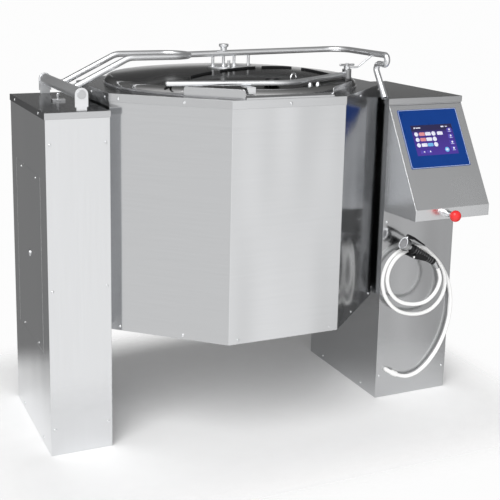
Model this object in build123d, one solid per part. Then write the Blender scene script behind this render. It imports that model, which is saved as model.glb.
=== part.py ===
from build123d import *
import math
import os

# Tilting cooking kettle: an eight-sided insulated kettle hangs between two floor columns.
# Modelling frame: the kettle's vertical centre line is X = 0, Y = 0, the floor is Z = 0
# and the cook stands on the -Y side. The last lines move it to the centre of its own box.

# Sheet, clearances and fits
SHEET = 2.0
GAP = 0.3
RUNNING_FIT = 0.05

# Kettle casing, an eight-sided prism
KETTLE_WIDTH = 1020.0
KETTLE_DEPTH = 956.0
FRONT_FACET = 403.0
SIDE_FACET = 386.0
CASING_BOTTOM = 401.0
BOTTOM_RETURN = 28.0
COLLAR_PROUD = 2.5
COLLAR_SKIRT = 28.0

# Vessel, steam jacket and insulation
RIM_TOP = 1202.0
RIM_RADIUS = 450.0
RIM_THICKNESS = 3.0
VESSEL_RADIUS = 405.0
VESSEL_WALL = 3.0
VESSEL_BOTTOM = 640.0
VESSEL_KNUCKLE = 80.0
VESSEL_DISH = 140.0
JACKET_RADIUS = 433.0
JACKET_WALL = 3.0
JACKET_BOTTOM = 555.0
JACKET_TOP = 1000.0
INSULATION_WALL = 34.0
INSULATION_TOP = 1165.0

# Heating elements in the jacket
HEATER_NECK_RADIUS = 50.0
HEATER_FLANGE_RADIUS = 75.0
HEATER_FLANGE_THICKNESS = 12.0
HEATER_ROD_RADIUS = 4.0
HEATER_LEVEL = 600.0
HEATER_REACH = 180.0
HEATER_LOOPS = 3
HEATER_LEG = 20.0
HEATER_HALF_SPACING = 12.0

# Pouring lip
LIP_WALL = 2.5
LIP_CLEAR = 0.8
LIP_WALL_HEIGHT = 31.0
LIP_FRONT = -471.0
LIP_BACK = -436.0
LIP_CREST = 12.0
LIP_CURL = 9.3

# Columns
COLUMN_GAP = 12.0
COLUMN_HEIGHT = 1150.0
COLUMN_FRONT = -240.0
COLUMN_DEPTH = 512.0
LEFT_COLUMN_WIDTH = 210.0
RIGHT_COLUMN_WIDTH = 313.0
COVER_SKIRT = 22.0
BASE_THICKNESS = 10.0
ANCHOR_RADIUS = 6.5
ANCHOR_INSET = 30.0

# Tilting shafts, their bearings and the drive
TILT_HEIGHT = 850.0
SHAFT_RADIUS = 30.0
SHAFT_FLANGE_RADIUS = 75.0
SHAFT_FLANGE_THICKNESS = 10.0
SHAFT_BOSS_RADIUS = 55.0
BEARING_LENGTH = 70.0
BEARING_WIDTH = 120.0
BEARING_HEIGHT = 120.0
BEARING_INSET = 8.0
POST_WALL = 6.0
DRIVE_LENGTH = 96.0
DRIVE_WIDTH = 140.0
DRIVE_HEIGHT = 150.0
MOTOR_RADIUS = 55.0
MOTOR_LENGTH = 210.0

# Service panel in the left column's outer side, with its lock in the middle
PANEL_FRONT = -155.0
PANEL_BACK = 200.0
PANEL_BOTTOM = 333.0
PANEL_TOP = 931.0
PANEL_GAP = 1.5
PANEL_SEAT = 12.0
PANEL_FOLD = 14.0
LOCK_RADIUS = 9.0
LOCK_PROUD = 3.0
LOCK_BODY = 24.0
LOCK_CAM_LENGTH = 60.0
LOCK_CAM_WIDTH = 16.0

# Sloping control hood on the right column
HOOD_TOP = 1124.0
HOOD_FRONT = -441.0
HOOD_LIP_TOP = 781.0
HOOD_LIP_BOTTOM = 741.0
HOOD_BACK_BOTTOM = 735.0
CONTROL_WIDTH = 254.0
CONTROL_HEIGHT = 226.0
CONTROL_THICKNESS = 1.5
CONTROL_LEFT = 26.0
CONTROL_DOWN = 20.0
SCREEN_WIDTH = 177.0
SCREEN_HEIGHT = 116.0
SCREEN_LEFT = 65.0
SCREEN_DOWN = 82.0
SCREEN_HOUSING_DEPTH = 30.0
SCREEN_HOUSING_BORDER = 6.0

# Stop button on the hood's lip
STOP_X = 650.0
STOP_Z = 764.0
STOP_BEZEL_RADIUS = 14.5
STOP_BEZEL_THICKNESS = 3.0
STOP_SLEEVE_RADIUS = 11.0
STOP_SLEEVE_LENGTH = 34.0
STOP_STEM_RADIUS = 7.0
STOP_STEM_DEPTH = 26.0
STOP_TRAVEL = 6.0
STOP_HEAD_RADIUS = 20.5
STOP_HEAD_LENGTH = 30.0

# Lid hinge on the left column
HINGE_X = -610.5
HINGE_Z = 1202.0
HINGE_FRONT = -228.0
HINGE_BACK = 259.0
EAR_THICKNESS = 6.0
EAR_RADIUS = 21.5
EAR_FOOT_WIDTH = 34.0
EAR_FOOT_HEIGHT = 12.0
PIN_RADIUS = 10.0
PIN_HEAD_RADIUS = 14.0
PIN_HEAD_LENGTH = 4.0
BARREL_RADIUS = 19.0

# Lid
LID_RADIUS = 448.0
LID_CROWN_RADIUS = 425.0
LID_CROWN_EDGE = 1226.0
LID_TOP = 1255.0
LID_UNDERSIDE = 1206.0
LID_RETURN = 22.0
SEAL_WIDTH = 14.0
SEAL_INSET = 2.0

# Lid tubes
TUBE_RADIUS = 10.65
ARM_FRONT = -90.0
ARM_BACK = 60.0
ARM_BEND_X = -408.0
ARM_LEVEL = 1302.0
ARM_END_X = -172.0
ARM_BEND_RADIUS = 70.0
HANDLE_X = 445.0
HANDLE_LEVEL = 1313.0
HANDLE_BEND_RADIUS = 72.0
HANDLE_TIP = -330.0
HOOK_LEVEL = 1280.0
HOOK_BACK = -248.0
HOOK_END = (-328.0, 1166.0)
HOOK_RADIUS = 16.4
HOOK_TURN_RADIUS = 18.0
TUBE_BORE_RADIUS = 8.6
TUBE_BORE_DEPTH = 40.0

# Hub over the lid's middle
HUB_X = -20.0
HUB_RADIUS = 70.0
HUB_THICKNESS = 4.0
STUD_RADIUS = 5.0
STUD_XS = (-74.0, -33.0, 8.0, 64.0)
FRONT_STUD = (-41.0, -80.0)
FRONT_STUD_HEIGHT = 26.0
CAP_X = -33.0
CAP_RADIUS = 17.0
CAP_NECK_RADIUS = 11.0
CAP_HEIGHT = 22.0

# Front bar, strap, clamp, stay and lid knob
BAR_RADIUS = 8.5
BAR_LEVEL = 1243.0
BAR_ROUTE = ((-369.0, -355.0), (20.0, -437.0), (345.0, -231.0))
BAR_BEND_RADIUS = 150.0
STRAP_X = -127.0
STRAP_WIDTH = 30.0
STRAP_THICKNESS = 3.0
STRAP_FRONT = -452.0
STRAP_DROP = 1213.0
CLAMP_RADIUS = 16.0
CLAMP_TOP = 1260.0
SCREW_RADIUS = 5.0
SCREW_BOTTOM = 1240.0
SCREW_TOP = 1280.0
T_BAR_RADIUS = 4.0
T_BAR_HALF = 26.0
T_BAR_LEVEL = 1274.0
STAY_RADIUS = 3.0
STAY_LEVEL = 1265.0
STAY_EYE_RADIUS = 11.0
STAY_BEND_X = 388.0
KNOB_X = -22.0
KNOB_Y = -385.0
KNOB_RADIUS = 26.5
KNOB_BOTTOM = 1236.0
KNOB_TOP = 1255.0
KNOB_FOOT_RADIUS = 14.0

# Lid position switch on the left column's top
SWITCH_X = -621.0
SWITCH_Y = 29.0
SWITCH_BASE = (44.0, 26.0, 8.0)
SWITCH_PEG_RADIUS = 6.0
SWITCH_PEG_TOP = 1178.0

# Water supply, in the right column
OUTLET_X = 562.5
OUTLET_RADIUS = 8.0
OUTLET_BEND_RADIUS = 13.0
PIPE_RADIUS = 8.0
VALVE_X = 700.0
VALVE_Z = 200.0
VALVE_SIZE = (46.0, 60.0, 46.0)
COIL_RADIUS = 19.0
COIL_HEIGHT = 48.0
INLET_RADIUS = 10.48
INLET_LENGTH = 24.0
INLET_INSIDE = 22.0
INLET_NUT_RADIUS = 16.0

# Hose of the hand shower, end to end: start, corners and end of its route
HOSE_RADIUS = 7.0
HOSE_ROUTE = (
    (600.0, -258.0, 91.0), (640.0, -257.0, 70.0), (712.0, -254.0, 84.0), (776.0, -254.0, 146.0),
    (820.0, -254.0, 228.0), (840.0, -254.0, 330.0), (826.0, -254.0, 424.0), (786.0, -254.0, 502.0),
    (722.0, -254.0, 566.0), (676.0, -255.0, 590.0), (612.0, -257.0, 592.0), (545.0, -261.0, 562.0),
    (510.0, -264.0, 492.0), (522.0, -266.0, 414.0), (576.0, -267.0, 352.0), (653.0, -268.0, 325.0),
    (729.0, -269.0, 331.0), (782.0, -270.0, 378.0), (796.0, -271.0, 444.0), (771.0, -273.0, 510.0),
    (716.0, -275.0, 564.0), (676.0, -276.0, 594.0), (612.0, -277.0, 590.0), (550.0, -280.0, 560.0),
    (519.0, -282.0, 500.0), (530.0, -285.0, 438.0), (572.0, -288.0, 394.0), (630.0, -292.0, 376.0),
    (688.0, -296.0, 379.0), (726.4, -300.0, 411.2), (744.4, -303.0, 453.5), (742.0, -305.0, 487.4),
    (725.8, -306.0, 515.1),
)
ARC_SHARE = 0.45
FERRULE_RADIUS = 10.5
FERRULE_LENGTH = 24.0

# Spray gun: its axis runs from the spray head down to the hose swivel
GUN_START = (569.0, -306.0, 625.0)
GUN_SLOPE = 31.6
HEAD_RADIUS = 23.0
HEAD_LENGTH = 25.0
HEAD_NUT_RADIUS = 10.4
GRIP_START = 38.0
GRIP_END = 160.0
GRIP_RADIUS = 16.0
GRIP_END_RADIUS = 11.5
SWIVEL_CENTRE = 170.0
SWIVEL_BALL_RADIUS = 9.5
SWIVEL_NIPPLE_RADIUS = 8.6
SWIVEL_NIPPLE_LENGTH = 24.0
LEVER_PIVOT = (8.0, 27.0)
LEVER_PIN_RADIUS = 2.0
LEVER_LUG_HALF = 4.0
LEVER_LUG_TOP = 30.2
LEVER_END = 88.0
LEVER_BOTTOM = 31.5
LEVER_THICKNESS = 3.2
LEVER_CHEEK = 2.5
CHEEK_BELOW = 2.9
CHEEK_BEHIND = 5.0
CHEEK_AHEAD = 6.0

# Black holder under the gun, which also carries the hose
HOLDER_OUTLINE = ((601.0, 569.0), (660.0, 551.0), (671.0, 560.0), (663.0, 580.8), (616.0, 580.8))
HOLDER_FRONT = -323.0

# Worked out from the values above
HALF_WIDTH = KETTLE_WIDTH / 2
HALF_DEPTH = KETTLE_DEPTH / 2
RIM_BOTTOM = RIM_TOP - RIM_THICKNESS
DECK_BOTTOM = RIM_BOTTOM - SHEET
LEFT_INNER = -HALF_WIDTH - COLUMN_GAP
LEFT_OUTER = LEFT_INNER - LEFT_COLUMN_WIDTH
RIGHT_INNER = HALF_WIDTH + COLUMN_GAP
RIGHT_OUTER = RIGHT_INNER + RIGHT_COLUMN_WIDTH
COLUMN_BACK = COLUMN_FRONT + COLUMN_DEPTH
COVER_PROUD = GAP + SHEET
ARM_MIDDLE = (ARM_FRONT + ARM_BACK) / 2
STOP_HEAD_BACK = HOOD_FRONT - STOP_SLEEVE_LENGTH - STOP_TRAVEL - GAP
CLAMP_X, CLAMP_Y = BAR_ROUTE[-1]
BEARING_OUTER = BEARING_INSET + BEARING_LENGTH


def box(x, y, z):
    """Block between two X, two Y and two Z levels."""
    size = (x[1] - x[0], y[1] - y[0], z[1] - z[0])
    centre = ((x[0] + x[1]) / 2, (y[0] + y[1]) / 2, (z[0] + z[1]) / 2)
    return Pos(*centre) * Box(*size)


def rod_x(radius, x, y, z):
    return Pos((x[0] + x[1]) / 2, y, z) * Rot(0, 90, 0) * Cylinder(radius, abs(x[1] - x[0]))


def rod_y(radius, x, y, z):
    return Pos(x, (y[0] + y[1]) / 2, z) * Rot(90, 0, 0) * Cylinder(radius, abs(y[1] - y[0]))


def rod_z(radius, x, y, z):
    return Pos(x, y, (z[0] + z[1]) / 2) * Cylinder(radius, abs(z[1] - z[0]))


def turned(edges):
    """Solid of revolution about Z from a closed half outline in the XZ plane."""
    face = make_face([edge for part in edges for edge in part.edges()])
    return revolve(Plane.XZ * face, axis=Axis.Z)


def turned_points(points):
    return revolve(Plane.XZ * make_face(Polyline(*points, close=True)), axis=Axis.Z)


def cap_arc(edge_radius, edge_level, top):
    """Arc from an edge up to the axis, level where it meets the axis."""
    rise = top - edge_level
    reach = (edge_radius ** 2 + rise ** 2) / (2 * rise)
    half = math.asin(edge_radius / reach) / 2
    middle = (reach * math.sin(half), top - reach + reach * math.cos(half))
    return ThreePointArc((edge_radius, edge_level), middle, (0, top))


def swept(points, radii, radius):
    """Round bar along straight runs joined by tangent arcs, one radius for each corner."""
    path = FilletPolyline(*points, radius=radii)
    return sweep(Plane(origin=path @ 0, z_dir=path % 0) * Circle(radius), path=path), path


def octagon(inset):
    """Corners of the kettle's plan with every side moved inwards by inset."""
    run_x = HALF_WIDTH - FRONT_FACET / 2
    run_y = HALF_DEPTH - SIDE_FACET / 2
    normal_x, normal_y = facet_normal()
    reach = normal_x * FRONT_FACET / 2 + normal_y * HALF_DEPTH - inset
    assert run_x > 0 and run_y > 0
    corner_x = (reach - normal_y * (HALF_DEPTH - inset)) / normal_x
    corner_y = (reach - normal_x * (HALF_WIDTH - inset)) / normal_y
    back_right = [(corner_x, HALF_DEPTH - inset), (HALF_WIDTH - inset, corner_y)]
    right = back_right + [(x, -y) for x, y in reversed(back_right)]
    return right + [(-x, y) for x, y in reversed(right)]


def facet_normal():
    """Outward normal of the slanting facet at the back right, the others mirror it."""
    run_x = HALF_WIDTH - FRONT_FACET / 2
    run_y = HALF_DEPTH - SIDE_FACET / 2
    length = math.hypot(run_x, run_y)
    return run_y / length, run_x / length


def prism(inset, bottom, top):
    face = make_face(Polyline(*octagon(inset), close=True))
    return Pos(0, 0, bottom) * extrude(face, amount=top - bottom)


def bowl_outline(radius, knuckle, bottom, dish, top, grow):
    """Wall, knuckle arc and crown arc of a dished bowl, all moved outwards by grow."""
    foot = bottom + dish
    knuckle_x = radius - knuckle
    crown = (knuckle_x ** 2 + dish ** 2 - knuckle ** 2) / (2 * (dish - knuckle))
    crown_z = bottom + crown
    meet = math.atan2(knuckle_x, crown_z - foot)

    def on_knuckle(angle):
        reach = knuckle + grow
        return knuckle_x + reach * math.sin(angle), foot - reach * math.cos(angle)

    def on_crown(angle):
        reach = crown + grow
        return reach * math.sin(angle), crown_z - reach * math.cos(angle)

    wall = Line((radius + grow, top), (radius + grow, foot))
    corner = ThreePointArc(
        on_knuckle(math.pi / 2), on_knuckle((math.pi / 2 + meet) / 2), on_knuckle(meet)
    )
    base = ThreePointArc(on_crown(meet), on_crown(meet / 2), on_crown(0))
    return [wall, corner, base], crown_z - crown - grow


def bowl(radius, knuckle, bottom, dish, top, inner, outer):
    """Shell of revolution between two parallel bowl outlines."""
    inside, inside_low = bowl_outline(radius, knuckle, bottom, dish, top, inner)
    outside, outside_low = bowl_outline(radius, knuckle, bottom, dish, top, outer)
    ends = [
        Line((radius + inner, top), (radius + outer, top)),
        Line((0, inside_low), (0, outside_low)),
    ]
    return turned(inside + outside + ends)


# Kettle body


def casing():
    """Outer skin of the kettle, folded inwards along its lower edge."""
    top = DECK_BOTTOM - GAP
    skin = prism(0, CASING_BOTTOM, top) - prism(SHEET, CASING_BOTTOM + SHEET, top)
    skin -= prism(BOTTOM_RETURN, CASING_BOTTOM, CASING_BOTTOM + SHEET)
    return skin - rod_x(SHAFT_RADIUS + 1, (-HALF_WIDTH - 1, HALF_WIDTH + 1), 0, TILT_HEIGHT)


def bottom_plate():
    return prism(SHEET + GAP, CASING_BOTTOM + SHEET, CASING_BOTTOM + 2 * SHEET)


def collar():
    """Deck round the rim with a skirt that overlaps the casing."""
    body = prism(-COLLAR_PROUD, RIM_BOTTOM - COLLAR_SKIRT, RIM_BOTTOM)
    body -= prism(-GAP, RIM_BOTTOM - COLLAR_SKIRT, DECK_BOTTOM)
    return body - rod_z(VESSEL_RADIUS + VESSEL_WALL + GAP, 0, 0, (DECK_BOTTOM, RIM_BOTTOM))


def vessel():
    """Cooking bowl with its flat rim flange."""
    shell = bowl(VESSEL_RADIUS, VESSEL_KNUCKLE, VESSEL_BOTTOM, VESSEL_DISH, RIM_TOP, 0, VESSEL_WALL)
    flange = rod_z(RIM_RADIUS, 0, 0, (RIM_BOTTOM, RIM_TOP))
    flange = fillet(flange.edges(), RIM_THICKNESS * 0.45)
    return shell + (flange - rod_z(VESSEL_RADIUS, 0, 0, (RIM_BOTTOM, RIM_TOP)))


def steam_jacket():
    """Pressure shell round the lower bowl, closed against the bowl by a top ring."""
    shell = bowl(JACKET_RADIUS, VESSEL_KNUCKLE, JACKET_BOTTOM, VESSEL_DISH, JACKET_TOP, 0, JACKET_WALL)
    ring = rod_z(JACKET_RADIUS + JACKET_WALL, 0, 0, (JACKET_TOP, JACKET_TOP + JACKET_WALL))
    ring -= rod_z(VESSEL_RADIUS + VESSEL_WALL, 0, 0, (JACKET_TOP, JACKET_TOP + JACKET_WALL))
    neck = rod_z(HEATER_NECK_RADIUS, 0, 0, (CASING_BOTTOM, HEATER_LEVEL))
    return shell + ring - neck


def insulation():
    """Mineral wool round the jacket, open for the shaft bosses and the heater flange."""
    inner = JACKET_WALL + GAP
    wool = bowl(
        JACKET_RADIUS, VESSEL_KNUCKLE, JACKET_BOTTOM, VESSEL_DISH, INSULATION_TOP,
        inner, inner + INSULATION_WALL,
    )
    wool -= rod_x(SHAFT_BOSS_RADIUS + 1, (-HALF_WIDTH, HALF_WIDTH), 0, TILT_HEIGHT)
    return wool - rod_z(HEATER_FLANGE_RADIUS + 2, 0, 0, (CASING_BOTTOM, HEATER_LEVEL))


def heating_elements():
    """Round flange with hairpin heating rods that lie in the jacket's water."""
    seat = JACKET_BOTTOM - JACKET_WALL + 0.8
    flange = rod_z(HEATER_FLANGE_RADIUS, 0, 0, (seat - HEATER_FLANGE_THICKNESS, seat))
    side = HEATER_HALF_SPACING
    hairpin, _ = swept(
        [
            (HEATER_LEG, -side, seat - 2), (HEATER_LEG, -side, HEATER_LEVEL),
            (HEATER_REACH, -side, HEATER_LEVEL), (HEATER_REACH, side, HEATER_LEVEL),
            (HEATER_LEG, side, HEATER_LEVEL), (HEATER_LEG, side, seat - 2),
        ],
        side * 0.95,
        HEATER_ROD_RADIUS,
    )
    for turn in range(HEATER_LOOPS):
        flange += Rot(0, 0, 360 / HEATER_LOOPS * turn) * hairpin
    return flange


def pouring_lip():
    """Floor from the rim to the front, two upright side walls and a rolled front edge."""
    normal_x, normal_y = facet_normal()
    reach = RIM_RADIUS + GAP
    wall_reach = reach + LIP_CLEAR
    tangent = (-normal_x * wall_reach, -normal_y * wall_reach)
    length = (tangent[1] - LIP_FRONT) / normal_x
    front_x = -(tangent[0] + normal_y * length)
    outline = Rectangle(length, LIP_WALL_HEIGHT, align=(Align.MIN, Align.MIN))
    outline = fillet(outline.vertices().sort_by(Axis.Y)[-2:], 8)
    wall_plane = Plane(
        origin=(tangent[0], tangent[1], RIM_BOTTOM),
        x_dir=(normal_y, -normal_x, 0),
        z_dir=(-normal_x, -normal_y, 0),
    )
    wall = extrude(wall_plane * outline, amount=LIP_WALL)
    corners = [tangent, (-front_x, LIP_FRONT), (front_x, LIP_FRONT), (-tangent[0], tangent[1])]
    floor = Pos(0, 0, RIM_BOTTOM) * extrude(make_face(Polyline(*corners, close=True)), amount=SHEET)
    low = RIM_BOTTOM
    crest = low + LIP_CREST
    tip = LIP_FRONT - LIP_CURL
    rolled = Polyline(
        (LIP_BACK, low), (LIP_BACK, low + SHEET), (LIP_FRONT, crest), (tip, crest - 6), (tip, low),
        close=True,
    )
    under = Polyline(
        (LIP_BACK - 8, low), (LIP_FRONT, crest - 2.6), (tip + LIP_WALL, crest - 7), (tip + LIP_WALL, low),
        close=True,
    )
    section = make_face(rolled) - make_face(under)
    front = extrude(Plane.YZ * section, amount=front_x + LIP_WALL / 2, both=True)
    bed = floor + front - rod_z(reach, 0, 0, (RIM_BOTTOM - 1, RIM_TOP + LIP_WALL_HEIGHT))
    return bed + wall + mirror(wall, about=Plane.YZ)


def trunnion(side, end):
    """Shaft with a flange inside the casing and a boss welded to the jacket, side is -1 or 1."""
    inside = HALF_WIDTH - SHEET - GAP
    shaft = rod_x(SHAFT_RADIUS, (side * (inside - SHAFT_FLANGE_THICKNESS), side * end), 0, TILT_HEIGHT)
    flange = rod_x(
        SHAFT_FLANGE_RADIUS, (side * (inside - SHAFT_FLANGE_THICKNESS), side * inside), 0, TILT_HEIGHT
    )
    boss = rod_x(SHAFT_BOSS_RADIUS, (side * (JACKET_RADIUS - 20), side * (inside - 1)), 0, TILT_HEIGHT)
    height = (TILT_HEIGHT - SHAFT_FLANGE_RADIUS, TILT_HEIGHT + SHAFT_FLANGE_RADIUS)
    boss -= rod_z(JACKET_RADIUS + JACKET_WALL, 0, 0, height)
    return shaft + flange + boss


# Columns


def column_shell(x):
    """Upright sheet box, open at the top and at the floor."""
    top = COLUMN_HEIGHT - SHEET - GAP
    skin = box(x, (COLUMN_FRONT, COLUMN_BACK), (0, top))
    inside = box(
        (x[0] + SHEET, x[1] - SHEET), (COLUMN_FRONT + SHEET, COLUMN_BACK - SHEET), (0, top)
    )
    return skin - inside


def left_column_shell():
    skin = column_shell((LEFT_OUTER, LEFT_INNER))
    opening = box(
        (LEFT_OUTER - 1, LEFT_OUTER + SHEET + 1),
        (PANEL_FRONT - PANEL_GAP, PANEL_BACK + PANEL_GAP),
        (PANEL_BOTTOM - PANEL_GAP, PANEL_TOP + PANEL_GAP),
    )
    x = (LEFT_OUTER + SHEET, LEFT_OUTER + 2 * SHEET)
    seat = box(
        x, (PANEL_FRONT - PANEL_SEAT, PANEL_BACK + PANEL_SEAT),
        (PANEL_BOTTOM - PANEL_SEAT, PANEL_TOP + PANEL_SEAT),
    )
    seat -= box(
        x, (PANEL_FRONT + PANEL_SEAT, PANEL_BACK - PANEL_SEAT),
        (PANEL_BOTTOM + PANEL_SEAT, PANEL_TOP - PANEL_SEAT),
    )
    skin = skin - opening + seat
    return skin - rod_x(SHAFT_RADIUS + 1, (LEFT_INNER - 5, LEFT_INNER + 5), 0, TILT_HEIGHT)


def right_column_shell():
    skin = column_shell((RIGHT_INNER, RIGHT_OUTER))
    skin -= rod_x(SHAFT_RADIUS + 1, (RIGHT_INNER - 5, RIGHT_INNER + 5), 0, TILT_HEIGHT)
    skin -= box(
        (RIGHT_INNER + 30, RIGHT_OUTER - 30), (COLUMN_FRONT - 1, COLUMN_FRONT + SHEET + 1),
        (HOOD_LIP_TOP + 30, HOOD_TOP - 60),
    )
    outlet_z = outlet_corner()[2]
    skin -= rod_y(OUTLET_RADIUS + GAP, OUTLET_X, (COLUMN_FRONT - 5, COLUMN_FRONT + 5), outlet_z)
    return skin - rod_y(INLET_RADIUS + GAP, VALVE_X, (COLUMN_BACK - 5, COLUMN_BACK + 5), VALVE_Z)


def top_cover(x):
    """Folded lid of a column with a skirt on all four sides."""
    skin = box(
        (x[0] - COVER_PROUD, x[1] + COVER_PROUD),
        (COLUMN_FRONT - COVER_PROUD, COLUMN_BACK + COVER_PROUD),
        (COLUMN_HEIGHT - COVER_SKIRT, COLUMN_HEIGHT),
    )
    skin = fillet(skin.edges().group_by(Axis.Z)[-1], 1.5)
    return skin - box(
        (x[0] - GAP, x[1] + GAP), (COLUMN_FRONT - GAP, COLUMN_BACK + GAP),
        (COLUMN_HEIGHT - COVER_SKIRT, COLUMN_HEIGHT - SHEET),
    )


def base_plate(x):
    """Floor plate inside a column with four anchor holes."""
    inner = SHEET + GAP
    ends = (x[0] + inner, x[1] - inner)
    depth = (COLUMN_FRONT + inner, COLUMN_BACK - inner)
    plate = box(ends, depth, (0, BASE_THICKNESS))
    for hole_x in (ends[0] + ANCHOR_INSET, ends[1] - ANCHOR_INSET):
        for hole_y in (depth[0] + ANCHOR_INSET, depth[1] - ANCHOR_INSET):
            plate -= rod_z(ANCHOR_RADIUS, hole_x, hole_y, (-1, BASE_THICKNESS + 1))
    return plate


def bearing_x(side):
    near = HALF_WIDTH + COLUMN_GAP + BEARING_INSET
    return sorted((side * near, side * (near + BEARING_LENGTH)))


def post(side):
    """Rectangular tube from the floor plate to the bearing block."""
    x = bearing_x(side)
    height = (BASE_THICKNESS, TILT_HEIGHT - BEARING_HEIGHT / 2)
    half = BEARING_WIDTH / 2
    tube = box(x, (-half, half), height)
    return tube - box(
        (x[0] + POST_WALL, x[1] - POST_WALL), (-half + POST_WALL, half - POST_WALL), height
    )


def bearing_block(side):
    """Split block with rounded shoulders and a bore for the shaft."""
    x = bearing_x(side)
    half = BEARING_WIDTH / 2
    low = TILT_HEIGHT - BEARING_HEIGHT / 2
    block = box(x, (-half, half), (low, low + BEARING_HEIGHT))
    block = fillet(block.edges().filter_by(Axis.X).group_by(Axis.Z)[-1], 30)
    return block - rod_x(SHAFT_RADIUS + RUNNING_FIT, (x[0] - 1, x[1] + 1), 0, TILT_HEIGHT)


def tilt_drive():
    """Gear housing on the right shaft with its motor hanging below."""
    start = bearing_x(1)[1]
    half = DRIVE_WIDTH / 2
    low = TILT_HEIGHT - DRIVE_HEIGHT / 2
    x = (start, start + DRIVE_LENGTH)
    housing = box(x, (-half, half), (low, low + DRIVE_HEIGHT))
    housing = fillet(housing.edges().filter_by(Axis.X), 20)
    middle = (x[0] + x[1]) / 2
    motor = rod_z(MOTOR_RADIUS, middle + 8, 0, (low - MOTOR_LENGTH, low + 1))
    fan_cover = rod_z(MOTOR_RADIUS - 6, middle + 8, 0, (low - MOTOR_LENGTH - 30, low - MOTOR_LENGTH + 1))
    terminal = box(
        (middle - 27, middle + 43), (-half, -MOTOR_RADIUS + 12), (low - 150, low - 70)
    )
    body = housing + motor + fan_cover + terminal
    return body - rod_x(SHAFT_RADIUS + RUNNING_FIT, (x[0] - 1, x[1] - 8), 0, TILT_HEIGHT)


def service_panel():
    """Lift-off panel in the left column's outer side with a lock hole and stiffening folds."""
    panel = box(
        (LEFT_OUTER, LEFT_OUTER + SHEET), (PANEL_FRONT, PANEL_BACK), (PANEL_BOTTOM, PANEL_TOP)
    )
    inset = PANEL_SEAT + 2 * SHEET
    for low in (PANEL_BOTTOM + inset, PANEL_TOP - inset - SHEET):
        panel += box(
            (LEFT_OUTER, LEFT_OUTER + PANEL_FOLD), (PANEL_FRONT + inset, PANEL_BACK - inset),
            (low, low + SHEET),
        )
    middle_y, middle_z = panel_middle()
    return panel - rod_x(
        LOCK_RADIUS + RUNNING_FIT, (LEFT_OUTER - 1, LEFT_OUTER + SHEET + 1), middle_y, middle_z
    )


def panel_middle():
    return (PANEL_FRONT + PANEL_BACK) / 2, (PANEL_BOTTOM + PANEL_TOP) / 2


def panel_lock():
    """Quarter-turn lock: slotted head outside, barrel through the panel, cam bar behind it."""
    middle_y, middle_z = panel_middle()
    back = LEFT_OUTER + LOCK_BODY
    barrel = rod_x(LOCK_RADIUS, (LEFT_OUTER - LOCK_PROUD, back), middle_y, middle_z)
    head = rod_x(LOCK_RADIUS + 4, (LEFT_OUTER - LOCK_PROUD, LEFT_OUTER - GAP), middle_y, middle_z)
    head = fillet(head.edges().group_by(Axis.X)[0], 1.2)
    slot = box(
        (LEFT_OUTER - LOCK_PROUD - 1, LEFT_OUTER - LOCK_PROUD + 2),
        (middle_y - 1.2, middle_y + 1.2), (middle_z - 6, middle_z + 6),
    )
    half = LOCK_CAM_LENGTH / 2
    cam = box(
        (back - 4, back), (middle_y - half, middle_y + half),
        (middle_z - LOCK_CAM_WIDTH / 2, middle_z + LOCK_CAM_WIDTH / 2),
    )
    cam = fillet(cam.edges().filter_by(Axis.X), LOCK_CAM_WIDTH / 2 - 0.5)
    return barrel + head - slot + cam


# Control hood


def slope_plane():
    """Plane on the hood's slope: origin at its upper left corner, X to the right, Y up the slope."""
    run = COLUMN_FRONT - HOOD_FRONT
    drop = HOOD_TOP - HOOD_LIP_TOP
    length = math.hypot(run, drop)
    return Plane(
        origin=(RIGHT_INNER, COLUMN_FRONT, HOOD_TOP),
        x_dir=(1, 0, 0),
        z_dir=(0, -drop / length, run / length),
    )


def on_slope(left, down, width, height, low, high):
    """Block on the slope, measured from its upper left corner, between two heights off it."""
    block = Box(width, height, high - low, align=(Align.MIN, Align.MAX, Align.MIN))
    return slope_plane() * Pos(left, -down, low) * block


def hood_section(inset):
    """Side outline of the hood with its front, slope and bottom moved inwards by inset."""
    run = COLUMN_FRONT - HOOD_FRONT
    drop = HOOD_TOP - HOOD_LIP_TOP
    length = math.hypot(run, drop)
    lower = inset * length / run
    front = HOOD_FRONT + inset
    return [
        (COLUMN_FRONT, HOOD_TOP - inset * length / run),
        (front, HOOD_LIP_TOP + inset * drop / run - lower),
        (front, HOOD_LIP_BOTTOM + inset),
        (COLUMN_FRONT, HOOD_BACK_BOTTOM + inset),
    ]


def control_hood():
    """Folded sheet hood, open towards the column, with a window for the screen."""
    width = RIGHT_COLUMN_WIDTH
    outside = Plane.YZ * make_face(Polyline(*hood_section(0), close=True))
    inside = Plane.YZ * make_face(Polyline(*hood_section(SHEET), close=True))
    hood = Pos(RIGHT_INNER, 0, 0) * extrude(outside, amount=width)
    hood -= Pos(RIGHT_INNER + SHEET, 0, 0) * extrude(inside, amount=width - 2 * SHEET)
    hood -= on_slope(
        SCREEN_LEFT - GAP, SCREEN_DOWN - GAP, SCREEN_WIDTH + 2 * GAP, SCREEN_HEIGHT + 2 * GAP, -6, 6
    )
    stem = STOP_STEM_RADIUS + 1
    return hood - rod_y(stem, STOP_X, (HOOD_FRONT - 1, HOOD_FRONT + SHEET + 1), STOP_Z)


def control_panel():
    """Coloured overlay on the slope with a window for the screen."""
    overlay = on_slope(CONTROL_LEFT, CONTROL_DOWN, CONTROL_WIDTH, CONTROL_HEIGHT, 0, CONTROL_THICKNESS)
    overlay = fillet(overlay.edges().filter_by(Axis((0, 0, 0), slope_plane().z_dir)), 5)
    return overlay - on_slope(
        SCREEN_LEFT - GAP, SCREEN_DOWN - GAP, SCREEN_WIDTH + 2 * GAP, SCREEN_HEIGHT + 2 * GAP, -1, 6
    )


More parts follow.
